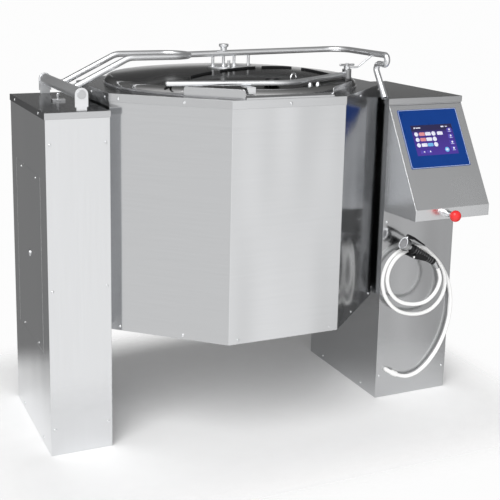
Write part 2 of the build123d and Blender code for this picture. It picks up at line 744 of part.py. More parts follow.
def touch_screen():
    """Glass front in the window with a deeper housing behind the hood's sheet."""
    glass = on_slope(
        SCREEN_LEFT, SCREEN_DOWN, SCREEN_WIDTH, SCREEN_HEIGHT, -SHEET - GAP, CONTROL_THICKNESS - 0.3
    )
    border = SCREEN_HOUSING_BORDER
    housing = on_slope(
        SCREEN_LEFT - border, SCREEN_DOWN - border, SCREEN_WIDTH + 2 * border,
        SCREEN_HEIGHT + 2 * border, -SHEET - GAP - SCREEN_HOUSING_DEPTH, -SHEET - GAP,
    )
    return glass + housing


def control_board():
    """Circuit board behind the screen housing with its power blocks."""
    back = -SHEET - SCREEN_HOUSING_DEPTH - 2 * GAP
    board = on_slope(SCREEN_LEFT - 16, SCREEN_DOWN - 16, SCREEN_WIDTH + 32, SCREEN_HEIGHT + 32, back - 2, back)
    for place in (0.0, 0.36, 0.7):
        left = SCREEN_LEFT + place * SCREEN_WIDTH
        board += on_slope(left, SCREEN_DOWN + 20, 38, 60, back - 20, back - 1)
    return board


def stop_button_bezel():
    """Chromed ring on the hood's lip with the sleeve that guides the button."""
    ring = rod_y(STOP_BEZEL_RADIUS, STOP_X, (HOOD_FRONT - STOP_BEZEL_THICKNESS, HOOD_FRONT), STOP_Z)
    ring = fillet(ring.edges().group_by(Axis.Y)[0], 1.2)
    sleeve = rod_y(STOP_SLEEVE_RADIUS, STOP_X, (HOOD_FRONT - STOP_SLEEVE_LENGTH, HOOD_FRONT), STOP_Z)
    bore = (HOOD_FRONT - STOP_SLEEVE_LENGTH - 1, HOOD_FRONT + 1)
    return ring + sleeve - rod_y(STOP_STEM_RADIUS + RUNNING_FIT, STOP_X, bore, STOP_Z)


def stop_button():
    """Mushroom head and stem, turned in one piece about the button's own axis."""
    radius = STOP_HEAD_RADIUS
    length = STOP_HEAD_LENGTH
    stem = HOOD_FRONT + STOP_STEM_DEPTH - STOP_HEAD_BACK
    shoulder = (radius * 0.62, 0)
    widest = (radius, length * 0.45)
    outline = [
        Line((0, -stem), (STOP_STEM_RADIUS, -stem)),
        Line((STOP_STEM_RADIUS, -stem), (STOP_STEM_RADIUS, 0)),
        Line((STOP_STEM_RADIUS, 0), shoulder),
        ThreePointArc(shoulder, (radius * 0.89, length * 0.18), widest),
        ThreePointArc(widest, (radius * 0.95, length * 0.64), (radius * 0.8, length * 0.8)),
        cap_arc(radius * 0.8, length * 0.8, length),
        Line((0, length), (0, -stem)),
    ]
    return Pos(STOP_X, STOP_HEAD_BACK, STOP_Z) * Rot(90, 0, 0) * turned(outline)


# Lid and its carrier


def hinge_ear(y):
    """Upright plate with a rounded top, a bored eye and a narrower welded foot."""
    top = HINGE_Z
    half = EAR_RADIUS
    foot = COLUMN_HEIGHT + EAR_FOOT_HEIGHT
    plate = box((HINGE_X - half, HINGE_X + half), y, (foot, top))
    plate += rod_y(half, HINGE_X, y, top)
    narrow = EAR_FOOT_WIDTH / 2
    plate += box((HINGE_X - narrow, HINGE_X + narrow), y, (COLUMN_HEIGHT, foot))
    return plate - rod_y(PIN_RADIUS + RUNNING_FIT, HINGE_X, (y[0] - 1, y[1] + 1), top)


def hinge_pin():
    """Plain pin with a head at each end of the hinge."""
    ends = (HINGE_FRONT - GAP, HINGE_BACK + GAP)
    pin = rod_y(PIN_RADIUS, HINGE_X, ends, HINGE_Z)
    pin += rod_y(PIN_HEAD_RADIUS, HINGE_X, (ends[0] - PIN_HEAD_LENGTH, ends[0]), HINGE_Z)
    return pin + rod_y(PIN_HEAD_RADIUS, HINGE_X, (ends[1], ends[1] + PIN_HEAD_LENGTH), HINGE_Z)


def hinge_barrel():
    ends = (HINGE_FRONT + EAR_THICKNESS + GAP, HINGE_BACK - EAR_THICKNESS - GAP)
    barrel = rod_y(BARREL_RADIUS, HINGE_X, ends, HINGE_Z)
    return barrel - rod_y(PIN_RADIUS + RUNNING_FIT, HINGE_X, (ends[0] - 1, ends[1] + 1), HINGE_Z)


def twin_arm():
    """One tube bent into two arms that rise from the barrel and meet in a U bend."""
    foot = (HINGE_X, HINGE_Z)
    bend = (ARM_BEND_X, ARM_LEVEL)
    u_radius = (ARM_BACK - ARM_FRONT) / 2 * 0.995
    points = [
        (foot[0], ARM_FRONT, foot[1]), (bend[0], ARM_FRONT, bend[1]),
        (ARM_END_X, ARM_FRONT, ARM_LEVEL), (ARM_END_X, ARM_BACK, ARM_LEVEL),
        (bend[0], ARM_BACK, bend[1]), (foot[0], ARM_BACK, foot[1]),
    ]
    tube, _ = swept(points, [ARM_BEND_RADIUS, u_radius, u_radius, ARM_BEND_RADIUS], TUBE_RADIUS)
    return tube - rod_y(BARREL_RADIUS, HINGE_X, (ARM_FRONT - 40, ARM_BACK + 40), HINGE_Z)


def handle_level(x):
    """Height of the long tube's axis, which climbs a little from the U bend to the handle."""
    return ARM_LEVEL + (HANDLE_LEVEL - ARM_LEVEL) * (x - ARM_END_X) / (HANDLE_X - ARM_END_X)


def handle_tube():
    """Long tube from the U bend to the right, forwards along the rim and into a hooked end."""
    points = [
        (ARM_END_X, ARM_MIDDLE, ARM_LEVEL), (HANDLE_X, ARM_MIDDLE, HANDLE_LEVEL),
        (HANDLE_X, HANDLE_TIP, HANDLE_LEVEL), (HANDLE_X, HANDLE_TIP, HOOK_LEVEL),
        (HANDLE_X, HOOK_BACK, HOOK_LEVEL), (HANDLE_X, HOOK_END[0], HOOK_END[1]),
    ]
    tube, path = swept(
        points, [HANDLE_BEND_RADIUS, HOOK_RADIUS, HOOK_RADIUS, HOOK_TURN_RADIUS], TUBE_RADIUS
    )
    bore = Plane(origin=path @ 1, z_dir=path % 1) * Cylinder(TUBE_BORE_RADIUS, 2 * TUBE_BORE_DEPTH)
    u_radius = (ARM_BACK - ARM_FRONT) / 2 * 0.995
    saddle = Pos(ARM_END_X - u_radius, ARM_MIDDLE, ARM_LEVEL) * Torus(u_radius, TUBE_RADIUS + GAP)
    return tube - bore - saddle


def dome_arcs(grow):
    """Outline of the lid's top from its middle to its edge, moved outwards by grow."""
    drop = LID_TOP - LID_CROWN_EDGE
    crown = (LID_CROWN_RADIUS ** 2 + drop ** 2) / (2 * drop)
    centre = LID_TOP - crown
    angle = math.asin(LID_CROWN_RADIUS / crown)
    reach = crown + grow
    edge = (reach * math.sin(angle), centre + reach * math.cos(angle))
    middle = (reach * math.sin(angle / 2), centre + reach * math.cos(angle / 2))
    rim = (LID_RADIUS + grow, LID_UNDERSIDE)
    shoulder = (LID_RADIUS - 6.5 + grow * 0.8, LID_CROWN_EDGE - 6.6 + grow * 0.6)
    return [
        ThreePointArc((0, LID_TOP + grow), middle, edge),
        ThreePointArc(edge, shoulder, rim),
    ]


def under_dome(grow):
    """Everything below the lid's outer skin, to cut the feet of what stands on it."""
    low = LID_UNDERSIDE - 60
    edge = LID_RADIUS + grow
    sides = [Line((edge, LID_UNDERSIDE), (edge, low)), Line((edge, low), (0, low))]
    return turned(dome_arcs(grow) + sides + [Line((0, low), (0, LID_TOP + grow))])


def lid_shell():
    """Polished dome with a rounded edge and an inward fold underneath."""
    inner_edge = LID_RADIUS - LID_RETURN
    skin = turned(
        dome_arcs(0)
        + dome_arcs(-SHEET)
        + [Line((0, LID_TOP - SHEET), (0, LID_TOP)),
           Line((LID_RADIUS - SHEET, LID_UNDERSIDE), (LID_RADIUS, LID_UNDERSIDE))]
    )
    fold = rod_z(LID_RADIUS - 0.5, 0, 0, (LID_UNDERSIDE, LID_UNDERSIDE + SHEET))
    return skin + (fold - rod_z(inner_edge, 0, 0, (LID_UNDERSIDE, LID_UNDERSIDE + SHEET)))


def lid_liner():
    """Inner skin of the lid, a shallow pan that drains to its middle."""
    radius = LID_RADIUS - LID_RETURN - GAP
    level = LID_UNDERSIDE + SHEET
    return turned_points(
        [
            (0, level - SHEET), (radius, level - SHEET), (radius, level), (radius - 60, level + 5),
            (radius - 63, level + 5), (radius - 66, level), (0, level),
        ]
    )


def lid_seal():
    """Soft ring between the lid's fold and the kettle's rim."""
    outer = LID_RADIUS - SEAL_INSET
    ring = rod_z(outer, 0, 0, (RIM_TOP + GAP, LID_UNDERSIDE))
    return ring - rod_z(outer - SEAL_WIDTH, 0, 0, (RIM_TOP + GAP, LID_UNDERSIDE))


def hub_plate():
    plate = rod_z(HUB_RADIUS, HUB_X, ARM_MIDDLE, (LID_TOP - 8, LID_TOP + HUB_THICKNESS))
    plate = fillet(plate.edges().group_by(Axis.Z)[-1], 1.5)
    return plate - under_dome(0.1)


def hub_studs():
    """Posts that carry the long tube over the hub and one shorter post in front."""
    foot = LID_TOP + HUB_THICKNESS
    studs = None
    for x in STUD_XS:
        top = handle_level(x) - TUBE_RADIUS - 0.1
        stud = rod_z(STUD_RADIUS, x, ARM_MIDDLE, (foot, top))
        stud += rod_z(STUD_RADIUS * 1.7, x, ARM_MIDDLE, (foot, foot + 6))
        studs = stud if studs is None else studs + stud
    x, y = FRONT_STUD
    stud = rod_z(STUD_RADIUS, x, y, (foot, foot + FRONT_STUD_HEIGHT))
    stud += rod_z(STUD_RADIUS * 1.7, x, y, (foot, foot + 6))
    return studs + stud


def tube_cap():
    """Turned cap on top of the long tube, wider at its head."""
    seat = handle_level(CAP_X)
    low = TUBE_RADIUS - 3
    high = TUBE_RADIUS + CAP_HEIGHT
    shape = turned_points(
        [
            (0, low), (CAP_NECK_RADIUS, low), (CAP_NECK_RADIUS, high - 13), (CAP_RADIUS, high - 8),
            (CAP_RADIUS, high - 1.5), (CAP_RADIUS - 1.5, high), (0, high),
        ]
    )
    tube = rod_x(TUBE_RADIUS + GAP, (CAP_X - 30, CAP_X + 30), ARM_MIDDLE, seat)
    return Pos(CAP_X, ARM_MIDDLE, seat) * shape - tube


def front_bar():
    """Bent round bar over the lid's front, free and rounded at the left, clamped at the right."""
    points = [(x, y, BAR_LEVEL) for x, y in BAR_ROUTE]
    bar, _ = swept(points, [BAR_BEND_RADIUS], BAR_RADIUS)
    bar += Pos(*points[0]) * Sphere(BAR_RADIUS)
    return bar - rod_z(CLAMP_RADIUS + 0.1, CLAMP_X, CLAMP_Y, (BAR_LEVEL - 20, BAR_LEVEL + 20))


def bar_y(x):
    """Place of the front bar's axis on its left run."""
    (x0, y0), (x1, y1) = BAR_ROUTE[:2]
    return y0 + (y1 - y0) * (x - x0) / (x1 - x0)


def bar_strap():
    """Bent strip under the front bar that hangs over the lid's front edge."""
    top = BAR_LEVEL - BAR_RADIUS - 0.1
    half = STRAP_WIDTH / 2
    ends = (STRAP_X - half, STRAP_X + half)
    strip = box(ends, (STRAP_FRONT, bar_y(STRAP_X) + 6), (top - STRAP_THICKNESS, top))
    drop = Plane(origin=(0, STRAP_FRONT + STRAP_THICKNESS, 0), x_dir=(1, 0, 0), z_dir=(0, -1, 0))
    outline = Polyline(
        (ends[0], top), (ends[0] + 7, STRAP_DROP), (ends[1], STRAP_DROP), (ends[1], top), close=True
    )
    return strip + extrude(drop * make_face(outline), amount=STRAP_THICKNESS)


def bar_clamp():
    """Round block on the lid that holds the bar's end and takes the T screw."""
    block = rod_z(CLAMP_RADIUS, CLAMP_X, CLAMP_Y, (LID_CROWN_EDGE - 10, CLAMP_TOP))
    block = fillet(block.edges().group_by(Axis.Z)[-1], 2) - under_dome(0.1)
    return block - rod_z(SCREW_RADIUS + RUNNING_FIT, CLAMP_X, CLAMP_Y, (SCREW_BOTTOM - GAP, CLAMP_TOP + 1))


def clamp_screw():
    """Screw with a cross bar for turning it by hand."""
    screw = rod_z(SCREW_RADIUS, CLAMP_X, CLAMP_Y, (SCREW_BOTTOM, SCREW_TOP))
    bar = rod_x(T_BAR_RADIUS, (CLAMP_X - T_BAR_HALF, CLAMP_X + T_BAR_HALF), CLAMP_Y, T_BAR_LEVEL)
    for end in (-T_BAR_HALF, T_BAR_HALF):
        bar += Pos(CLAMP_X + end, CLAMP_Y, T_BAR_LEVEL) * Sphere(T_BAR_RADIUS)
    return screw + bar


def stay_rod():
    """Thin rod from the long tube down to an eye round the screw."""
    points = [
        (HANDLE_X, CLAMP_Y, HANDLE_LEVEL - TUBE_RADIUS + 3), (STAY_BEND_X, CLAMP_Y, STAY_LEVEL),
        (CLAMP_X + SCREW_RADIUS + 3, CLAMP_Y, STAY_LEVEL),
    ]
    rod, _ = swept(points, [24.0], STAY_RADIUS)
    rod -= rod_y(TUBE_RADIUS + 0.1, HANDLE_X, (CLAMP_Y - 20, CLAMP_Y + 20), HANDLE_LEVEL)
    eye = rod_z(STAY_EYE_RADIUS, CLAMP_X, CLAMP_Y, (CLAMP_TOP + 0.1, T_BAR_LEVEL - T_BAR_RADIUS - 1))
    return rod + eye - rod_z(SCREW_RADIUS + RUNNING_FIT, CLAMP_X, CLAMP_Y, (CLAMP_TOP - 1, SCREW_TOP))


def lid_knob():
    """Round black knob on a short foot near the lid's front edge."""
    outline = [
        Line((0, KNOB_BOTTOM), (KNOB_RADIUS - 3, KNOB_BOTTOM)),
        ThreePointArc(
            (KNOB_RADIUS - 3, KNOB_BOTTOM), (KNOB_RADIUS, (KNOB_BOTTOM + KNOB_TOP) / 2 - 2),
            (KNOB_RADIUS - 4, KNOB_TOP),
        ),
        Line((KNOB_RADIUS - 4, KNOB_TOP), (0, KNOB_TOP)),
        Line((0, KNOB_TOP), (0, KNOB_BOTTOM)),
    ]
    knob = Pos(KNOB_X, KNOB_Y, 0) * turned(outline)
    foot = rod_z(KNOB_FOOT_RADIUS, KNOB_X, KNOB_Y, (LID_CROWN_EDGE - 10, KNOB_BOTTOM + 1))
    return knob + (foot - under_dome(0.1))


def lid_position_switch():
    """Switch box with a round peg below the hinge barrel."""
    width, depth, height = SWITCH_BASE
    base = box(
        (SWITCH_X - width / 2, SWITCH_X + width / 2), (SWITCH_Y - depth / 2, SWITCH_Y + depth / 2),
        (COLUMN_HEIGHT, COLUMN_HEIGHT + height),
    )
    base = fillet(base.edges().group_by(Axis.Z)[-1], 1.5)
    peg = rod_z(SWITCH_PEG_RADIUS, SWITCH_X, SWITCH_Y, (COLUMN_HEIGHT, SWITCH_PEG_TOP))
    return base + fillet(peg.edges().group_by(Axis.Z)[-1], 3)


# Water supply and hand shower


def hose_outlet():
    """White bent tube from the column's front down to the hose ferrule."""
    corner = outlet_corner()
    points = [(OUTLET_X, COLUMN_FRONT + 20, corner[2]), corner, hose_start()]
    tube, _ = swept(points, [OUTLET_BEND_RADIUS], OUTLET_RADIUS)
    return tube


def outlet_corner():
    """Bend of the outlet tube, where the ferrule's axis meets the outlet's distance from the side."""
    start = Vector(*hose_start())
    direction = (Vector(*HOSE_ROUTE[1]) - Vector(*HOSE_ROUTE[0])).normalized()
    return tuple(start - direction * ((start.X - OUTLET_X) / direction.X))


def hose_start():
    """Back end of the ferrule, one ferrule length behind the hose's first point."""
    first = Vector(*HOSE_ROUTE[0])
    direction = (Vector(*HOSE_ROUTE[1]) - first).normalized()
    return tuple(first - direction * FERRULE_LENGTH)


def hose_ferrule():
    first = Vector(*HOSE_ROUTE[0])
    direction = (Vector(*HOSE_ROUTE[1]) - first).normalized()
    plane = Plane(origin=hose_start(), z_dir=direction)
    ferrule = plane * Cylinder(FERRULE_RADIUS, FERRULE_LENGTH, align=(Align.CENTER, Align.CENTER, Align.MIN))
    return fillet(ferrule.edges(), 1.0)


def hose():
    """Hose along its route, each arc as large as its two runs allow."""
    points = [Vector(*point) for point in HOSE_ROUTE]
    runs = [(b - a).length for a, b in zip(points, points[1:])]
    radii = []
    for index in range(1, len(points) - 1):
        turn = (points[index] - points[index - 1]).get_angle(points[index + 1] - points[index])
        shorter = min(runs[index - 1], runs[index])
        radii.append(ARC_SHARE * shorter / math.tan(math.radians(turn / 2)))
    tube, path = swept(HOSE_ROUTE, radii, HOSE_RADIUS)
    print("hose radii", [round(radius) for radius in radii])
    print("hose runs", [round(run) for run in runs])
    section = math.pi * HOSE_RADIUS ** 2
    print("hose length", round(path.length), "volume over section", round(tube.volume / section))
    return tube


def gun_place():
    return Pos(*GUN_START) * Rot(0, GUN_SLOPE, 0)


def gun_turned(points):
    """Solid turned about the gun's axis from (distance along the axis, radius) points."""
    outline = [(radius, along) for along, radius in points]
    return gun_place() * Rot(0, 90, 0) * turned_points(outline)


def spray_head():
    """Round spray face, hexagon nut behind it and the lug that carries the lever."""
    drum = gun_turned(
        [
            (3, 0), (3, HEAD_RADIUS - 4), (0, HEAD_RADIUS - 3), (0, HEAD_RADIUS), (HEAD_LENGTH - 6, HEAD_RADIUS),
            (HEAD_LENGTH, HEAD_RADIUS - 8), (HEAD_LENGTH, 0),
        ]
    )
    nut = extrude(RegularPolygon(HEAD_NUT_RADIUS, 6), amount=GRIP_START - HEAD_LENGTH)
    nut = gun_place() * Pos(HEAD_LENGTH, 0, 0) * Rot(0, 90, 0) * nut
    pivot_x, pivot_z = LEVER_PIVOT
    lug = box((pivot_x - 6, pivot_x + 6), (-LEVER_LUG_HALF, LEVER_LUG_HALF), (18, LEVER_LUG_TOP))
    lug = fillet(lug.edges().filter_by(Axis.Y).group_by(Axis.Z)[-1], 3)
    lug -= rod_y(LEVER_PIN_RADIUS + 0.02, pivot_x, (-9, 9), pivot_z)
    return drum + nut + gun_place() * lug


def gun_grip():
    """Tapered hand grip with raised rings at both ends."""
    return gun_turned(
        [
            (GRIP_START, 0), (GRIP_START, 12), (GRIP_START + 4, GRIP_RADIUS), (GRIP_START + 12, GRIP_RADIUS),
            (GRIP_END - 8, GRIP_END_RADIUS), (GRIP_END - 7, GRIP_END_RADIUS + 1.5),
            (GRIP_END, GRIP_END_RADIUS + 1.5), (GRIP_END, 0),
        ]
    )


def gun_swivel():
    """Ball swivel on the grip's end with the nipple that takes the hose."""
    ball = gun_place() * Pos(SWIVEL_CENTRE, 0, 0) * Sphere(SWIVEL_BALL_RADIUS)
    neck = gun_turned([(GRIP_END, 0), (GRIP_END, 8.5), (SWIVEL_CENTRE - 3, 8.5), (SWIVEL_CENTRE - 3, 0)])
    end = Vector(*HOSE_ROUTE[-1])
    direction = (Vector(*HOSE_ROUTE[-2]) - end).normalized()
    plane = Plane(origin=end, z_dir=-direction)
    nipple = plane * Cylinder(
        SWIVEL_NIPPLE_RADIUS, SWIVEL_NIPPLE_LENGTH, align=(Align.CENTER, Align.CENTER, Align.MIN)
    )
    return ball + neck + nipple


def lever_pin():
    pivot_x, pivot_z = LEVER_PIVOT
    half = LEVER_LUG_HALF + GAP + LEVER_CHEEK
    return gun_place() * rod_y(LEVER_PIN_RADIUS, pivot_x, (-half, half), pivot_z)


def gun_lever():
    """Top lever of the gun: two cheeks on the pin and a long plate over the grip."""
    pivot_x, pivot_z = LEVER_PIVOT
    inner = LEVER_LUG_HALF + GAP
    outer = inner + LEVER_CHEEK
    top = LEVER_BOTTOM + LEVER_THICKNESS
    front = pivot_x - CHEEK_AHEAD
    plate = box((front, LEVER_END), (-outer, outer), (LEVER_BOTTOM, top))
    plate = fillet(plate.edges().filter_by(Axis.Z).group_by(Axis.X)[-1], 6)
    lever = plate
    for side in (-1, 1):
        width = sorted((side * inner, side * outer))
        lever += box((front, pivot_x + CHEEK_BEHIND), width, (pivot_z - CHEEK_BELOW, top))
    lever -= rod_y(LEVER_PIN_RADIUS + RUNNING_FIT, pivot_x, (-outer - 1, outer + 1), pivot_z)
    return gun_place() * lever


def gun_holder():
    """Holder on the column: an arm that carries the hose and a cradle under the grip."""
    plane = Plane(origin=(0, COLUMN_FRONT, 0), x_dir=(1, 0, 0), z_dir=(0, -1, 0))
    arm = extrude(plane * make_face(Polyline(*HOLDER_OUTLINE, close=True)), amount=COLUMN_FRONT - HOLDER_FRONT)
    arm = fillet(arm.edges().filter_by(Axis.Y), 2.5)
    room = 0.4
    grip = gun_turned(
        [
            (GRIP_START - 20, 0), (GRIP_START - 20, GRIP_RADIUS + room), (GRIP_START + 12, GRIP_RADIUS + room),
            (GRIP_END, GRIP_END_RADIUS + room), (GRIP_END, 0),
        ]
    )
    above = gun_place() * box((-40, 220), (-40, 40), (0, 90))
    front = box((500, 800), (HOLDER_FRONT - 5, GUN_START[1] + 15), (500, 700))
    return arm - grip - (above & front)


def water_inlet():
    """Threaded nipple at the back of the right column with its fixing nut."""
    nipple = rod_y(INLET_RADIUS, VALVE_X, (COLUMN_BACK - INLET_INSIDE, COLUMN_BACK + INLET_LENGTH), VALVE_Z)
    nut = extrude(RegularPolygon(INLET_NUT_RADIUS, 6), amount=7)
    nut = Pos(VALVE_X, COLUMN_BACK + 7.1, VALVE_Z) * Rot(90, 0, 0) * nut
    bore = rod_y(INLET_RADIUS - 3, VALVE_X, (COLUMN_BACK - 10, COLUMN_BACK + INLET_LENGTH + 1), VALVE_Z)
    return nipple + nut - bore


def solenoid_valve():
    """Water valve body with its coil on top."""
    width, depth, height = VALVE_SIZE
    back = COLUMN_BACK - INLET_INSIDE
    body = box(
        (VALVE_X - width / 2, VALVE_X + width / 2), (back - depth, back),
        (VALVE_Z - height / 2, VALVE_Z + height / 2),
    )
    body = fillet(body.edges().filter_by(Axis.Y), 6)
    middle = back - depth / 2
    return body + rod_z(COIL_RADIUS, VALVE_X, middle, (VALVE_Z, VALVE_Z + height / 2 + COIL_HEIGHT))


def water_pipe():
    """Bent pipe from the valve to the outlet tube."""
    start = COLUMN_BACK - INLET_INSIDE - VALVE_SIZE[1]
    outlet_z = outlet_corner()[2]
    points = [
        (VALVE_X, start, VALVE_Z), (VALVE_X, start - 170, VALVE_Z), (OUTLET_X + 90, -60, outlet_z),
        (OUTLET_X, -120, outlet_z), (OUTLET_X, COLUMN_FRONT + 20, outlet_z),
    ]
    pipe, _ = swept(points, [40.0, 40.0, 40.0], PIPE_RADIUS)
    return pipe


def assembly():
    """Every node by name."""
    left = (LEFT_OUTER, LEFT_INNER)
    right = (RIGHT_INNER, RIGHT_OUTER)
    shaft_end = HALF_WIDTH + COLUMN_GAP + BEARING_OUTER + 5
    drive_end = HALF_WIDTH + COLUMN_GAP + BEARING_OUTER + DRIVE_LENGTH - 10
    return {
        "casing": casing(),
        "bottom_plate": bottom_plate(),
        "collar": collar(),
        "vessel": vessel(),
        "steam_jacket": steam_jacket(),
        "insulation": insulation(),
        "heating_elements": heating_elements(),
        "pouring_lip": pouring_lip(),
        "left_trunnion": trunnion(-1, shaft_end),
        "right_trunnion": trunnion(1, drive_end),
        "left_column_shell": left_column_shell(),
        "left_top_cover": top_cover(left),
        "left_base_plate": base_plate(left),
        "left_post": post(-1),
        "left_bearing_block": bearing_block(-1),
        "service_panel": service_panel(),
        "panel_lock": panel_lock(),
        "right_column_shell": right_column_shell(),
        "right_top_cover": top_cover(right),
        "right_base_plate": base_plate(right),
        "right_post": post(1),
        "right_bearing_block": bearing_block(1),
        "tilt_drive": tilt_drive(),
        "control_hood": control_hood(),
        "control_panel": control_panel(),
        "touch_screen": touch_screen(),
        "control_board": control_board(),
        "stop_button_bezel": stop_button_bezel(),
        "stop_button": stop_button(),
        "front_hinge_ear": hinge_ear((HINGE_FRONT, HINGE_FRONT + EAR_THICKNESS)),
        "rear_hinge_ear": hinge_ear((HINGE_BACK - EAR_THICKNESS, HINGE_BACK)),
        "lid_hinge_pin": hinge_pin(),
        "hinge_barrel": hinge_barrel(),
        "lid_position_switch": lid_position_switch(),
        "twin_arm": twin_arm(),
        "handle_tube": handle_tube(),
        "lid_shell": lid_shell(),
        "lid_liner": lid_liner(),
        "lid_seal": lid_seal(),
        "hub_plate": hub_plate(),
        "hub_studs": hub_studs(),
        "tube_cap": tube_cap(),
        "front_bar": front_bar(),
        "bar_strap": bar_strap(),
        "bar_clamp": bar_clamp(),
        "clamp_screw": clamp_screw(),
        "stay_rod": stay_rod(),
        "lid_knob": lid_knob(),
        "water_inlet": water_inlet(),
        "solenoid_valve": solenoid_valve(),
        "water_pipe": water_pipe(),
        "hose_outlet": hose_outlet(),
        "hose_ferrule": hose_ferrule(),
        "hose": hose(),
        "gun_swivel": gun_swivel(),
        "gun_grip": gun_grip(),
        "spray_head": spray_head(),
        "lever_pin": lever_pin(),
        "gun_lever": gun_lever(),
        "gun_holder": gun_holder(),
    }


# The outer faces that set the middle of the whole box
BOX_LEFT = LEFT_OUTER - LOCK_PROUD
BOX_RIGHT = RIGHT_OUTER + COVER_PROUD
BOX_FRONT = STOP_HEAD_BACK - STOP_HEAD_LENGTH
BOX_BACK = HALF_DEPTH + COLLAR_PROUD
ORIGIN = Pos(-(BOX_LEFT + BOX_RIGHT) / 2, -(BOX_FRONT + BOX_BACK) / 2, 0)

os.makedirs("parts", exist_ok=True)
for name, shape in assembly().items():
    export_step(ORIGIN * shape, f"parts/{name}.step")
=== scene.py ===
"""Looks of a tilting cooking kettle that hangs between two floor columns.

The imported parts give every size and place. This script gives them their finishes and adds
the small pieces that they leave out: screws, nuts, weld beads, grip ribs, the picture on
the touch screen and the hose. Lengths are metres, +Z is up and the cook stands on the -Y
side.
"""
import math

import bpy
import numpy as np
from mathutils import Matrix, Vector


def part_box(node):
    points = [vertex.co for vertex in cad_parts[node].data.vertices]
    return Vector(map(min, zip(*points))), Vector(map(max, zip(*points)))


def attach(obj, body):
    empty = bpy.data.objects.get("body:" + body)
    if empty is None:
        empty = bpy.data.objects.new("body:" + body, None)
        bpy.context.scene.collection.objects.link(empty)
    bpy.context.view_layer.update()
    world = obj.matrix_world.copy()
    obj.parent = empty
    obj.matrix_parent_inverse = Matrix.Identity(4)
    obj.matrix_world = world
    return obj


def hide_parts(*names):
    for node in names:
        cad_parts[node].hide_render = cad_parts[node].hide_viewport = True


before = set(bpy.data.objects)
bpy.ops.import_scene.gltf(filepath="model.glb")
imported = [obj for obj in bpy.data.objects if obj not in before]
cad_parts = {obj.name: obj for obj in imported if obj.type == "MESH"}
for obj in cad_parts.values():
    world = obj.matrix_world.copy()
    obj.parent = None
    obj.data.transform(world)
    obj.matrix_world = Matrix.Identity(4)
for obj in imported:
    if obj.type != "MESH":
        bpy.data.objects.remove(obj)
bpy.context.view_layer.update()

# Camera, fitted to the photograph: place, turns in degrees, focal length and centre in pixels
PHOTO_SIZE = 500
CAMERA_PLACE = (-1.49521, -3.22539, 1.58844)
CAMERA_YAW = 23.82
CAMERA_PITCH = 11.63
CAMERA_ROLL = -0.93
CAMERA_FOCAL = 990
CAMERA_CENTRE = (225, 175)

# Screws: places are shares of a side's length, recess sizes are shares of the head's
SCREW_RADIUS = 0.0048
SCREW_HEIGHT = 0.0022
SMALL_SCREW_RADIUS = 0.003
COLUMN_SCREW_LEVELS = (0.091, 0.570, 1.048)
RIGHT_SCREW_LEVELS = (0.088, 0.691)
COLUMN_SCREW_INSET = 0.014
FOOT_SCREW_LEVEL = 0.019
FOOT_SCREW_PLACES = (0.21, 0.79)
COVER_SCREW_PLACES = (0.16, 0.84)
COVER_SCREW_DROP = 0.011
COLLAR_SCREW_DROP = 0.016
CASING_SCREW_RISE = 0.014
SLANTED_SCREW_PLACES = (0.08, 0.62)
COLLAR_SCREW_PLACES = ((0.5,), (0.11, 0.5, 0.89))
CASING_SCREW_PLACES = ((0.08, 0.92), (0.1, 0.9))
PANEL_SCREW_PLACES = (0.18, 0.78)
PANEL_SCREW_INSET = 0.014
RECESS_WIDTH = 0.13
RECESS_REACH = 0.6
RECESS_DEPTH = 0.55

# Kettle's outline in plan: half its flat front and flat side at these half sizes, and their growth with it
OUTLINE_HALF = (0.510, 0.478)
FLAT_FRONT_HALF = 0.2015
FLAT_SIDE_HALF = 0.193
FLAT_GROWTH = 0.4

# Lid
DOME_RADIUS = 0.425
DOME_RISE = 0.029
# Slots: black strips that stand in for the shade inside the lid's slot openings
SLOT_HALF_WIDTH = 0.0030
SLOT_HEIGHT = 0.0062
SLOT_DEPTH = 0.0010
SLOT_LENGTHS = ((0.0, 0.1), (0.21, 0.33), (0.38, 0.58), (0.62, 0.78), (0.83, 1.0))
SLOT_LINE = (
    (-0.362, -0.308), (-0.238, -0.194), (-0.136, -0.143), (0.036, -0.075), (0.109, -0.049),
    (0.235, -0.020), (0.272, -0.070), (0.290, -0.158), (0.296, -0.195),
)
DOME_NUTS = ((0.104, -0.408), (0.138, -0.398))
NUT_RADIUS = 0.0078
NUT_TWIST = 0.4
WASHER_SINK = 0.0003
WASHER_THICKNESS = 0.0008
LIFT_TAB_PLACE = (0.112, -0.275)
LIFT_TAB_WIDTH = 0.027
LIFT_TAB_HEIGHT = 0.015
LIFT_TAB_RADIUS = 0.0032
LIFT_TAB_ALONG = (0.95, 0.3)
LIFT_TAB_SINK = 0.001
KNOB_INSET_RADIUS = 0.0175
WELD_RADIUS = 0.0019
WELD_RIPPLE = 0.12
WELD_DROPS = 24

# Lid arms, where they are welded to the hinge barrel
ARM_SPACING = (-0.090, 0.060)
ARM_RADIUS = 0.01065
BARREL_RADIUS = 0.019
BARREL_PLACE = (-0.6105, 1.202)
ARM_BEND = (-0.408, 1.302)

# Control hood: its sloping face starts at the hood's upper left corner
HOOD_CORNER = (0.522, -0.240, 1.124)
HOOD_RUN = 0.201
HOOD_DROP = 0.343
OVERLAY_LEFT = 0.026
OVERLAY_DOWN = 0.020
OVERLAY_SIZE = (0.254, 0.226)
OVERLAY_THICKNESS = 0.0015
BORDER_INSET = 0.0022
BORDER_RADIUS = 0.0010
SCREEN_LEFT = 0.065
SCREEN_DOWN = 0.082
SCREEN_LIFT = 0.0012
TILE_THICKNESS = 0.0004
ROW_DOWN = 0.034
ROW_STEP = 0.021
BLOCK_RIGHT = 0.014
BLOCK_STEP = 0.026
ICON_RIGHT = 0.162
ICON_STEP = 0.024
BUTTON_DOWN = 0.102
SCREEN_ROWS = (("warm", "pale", "ring", "pale"), ("warm", "pale", "ring"), ("pale", "cool", "ring"))

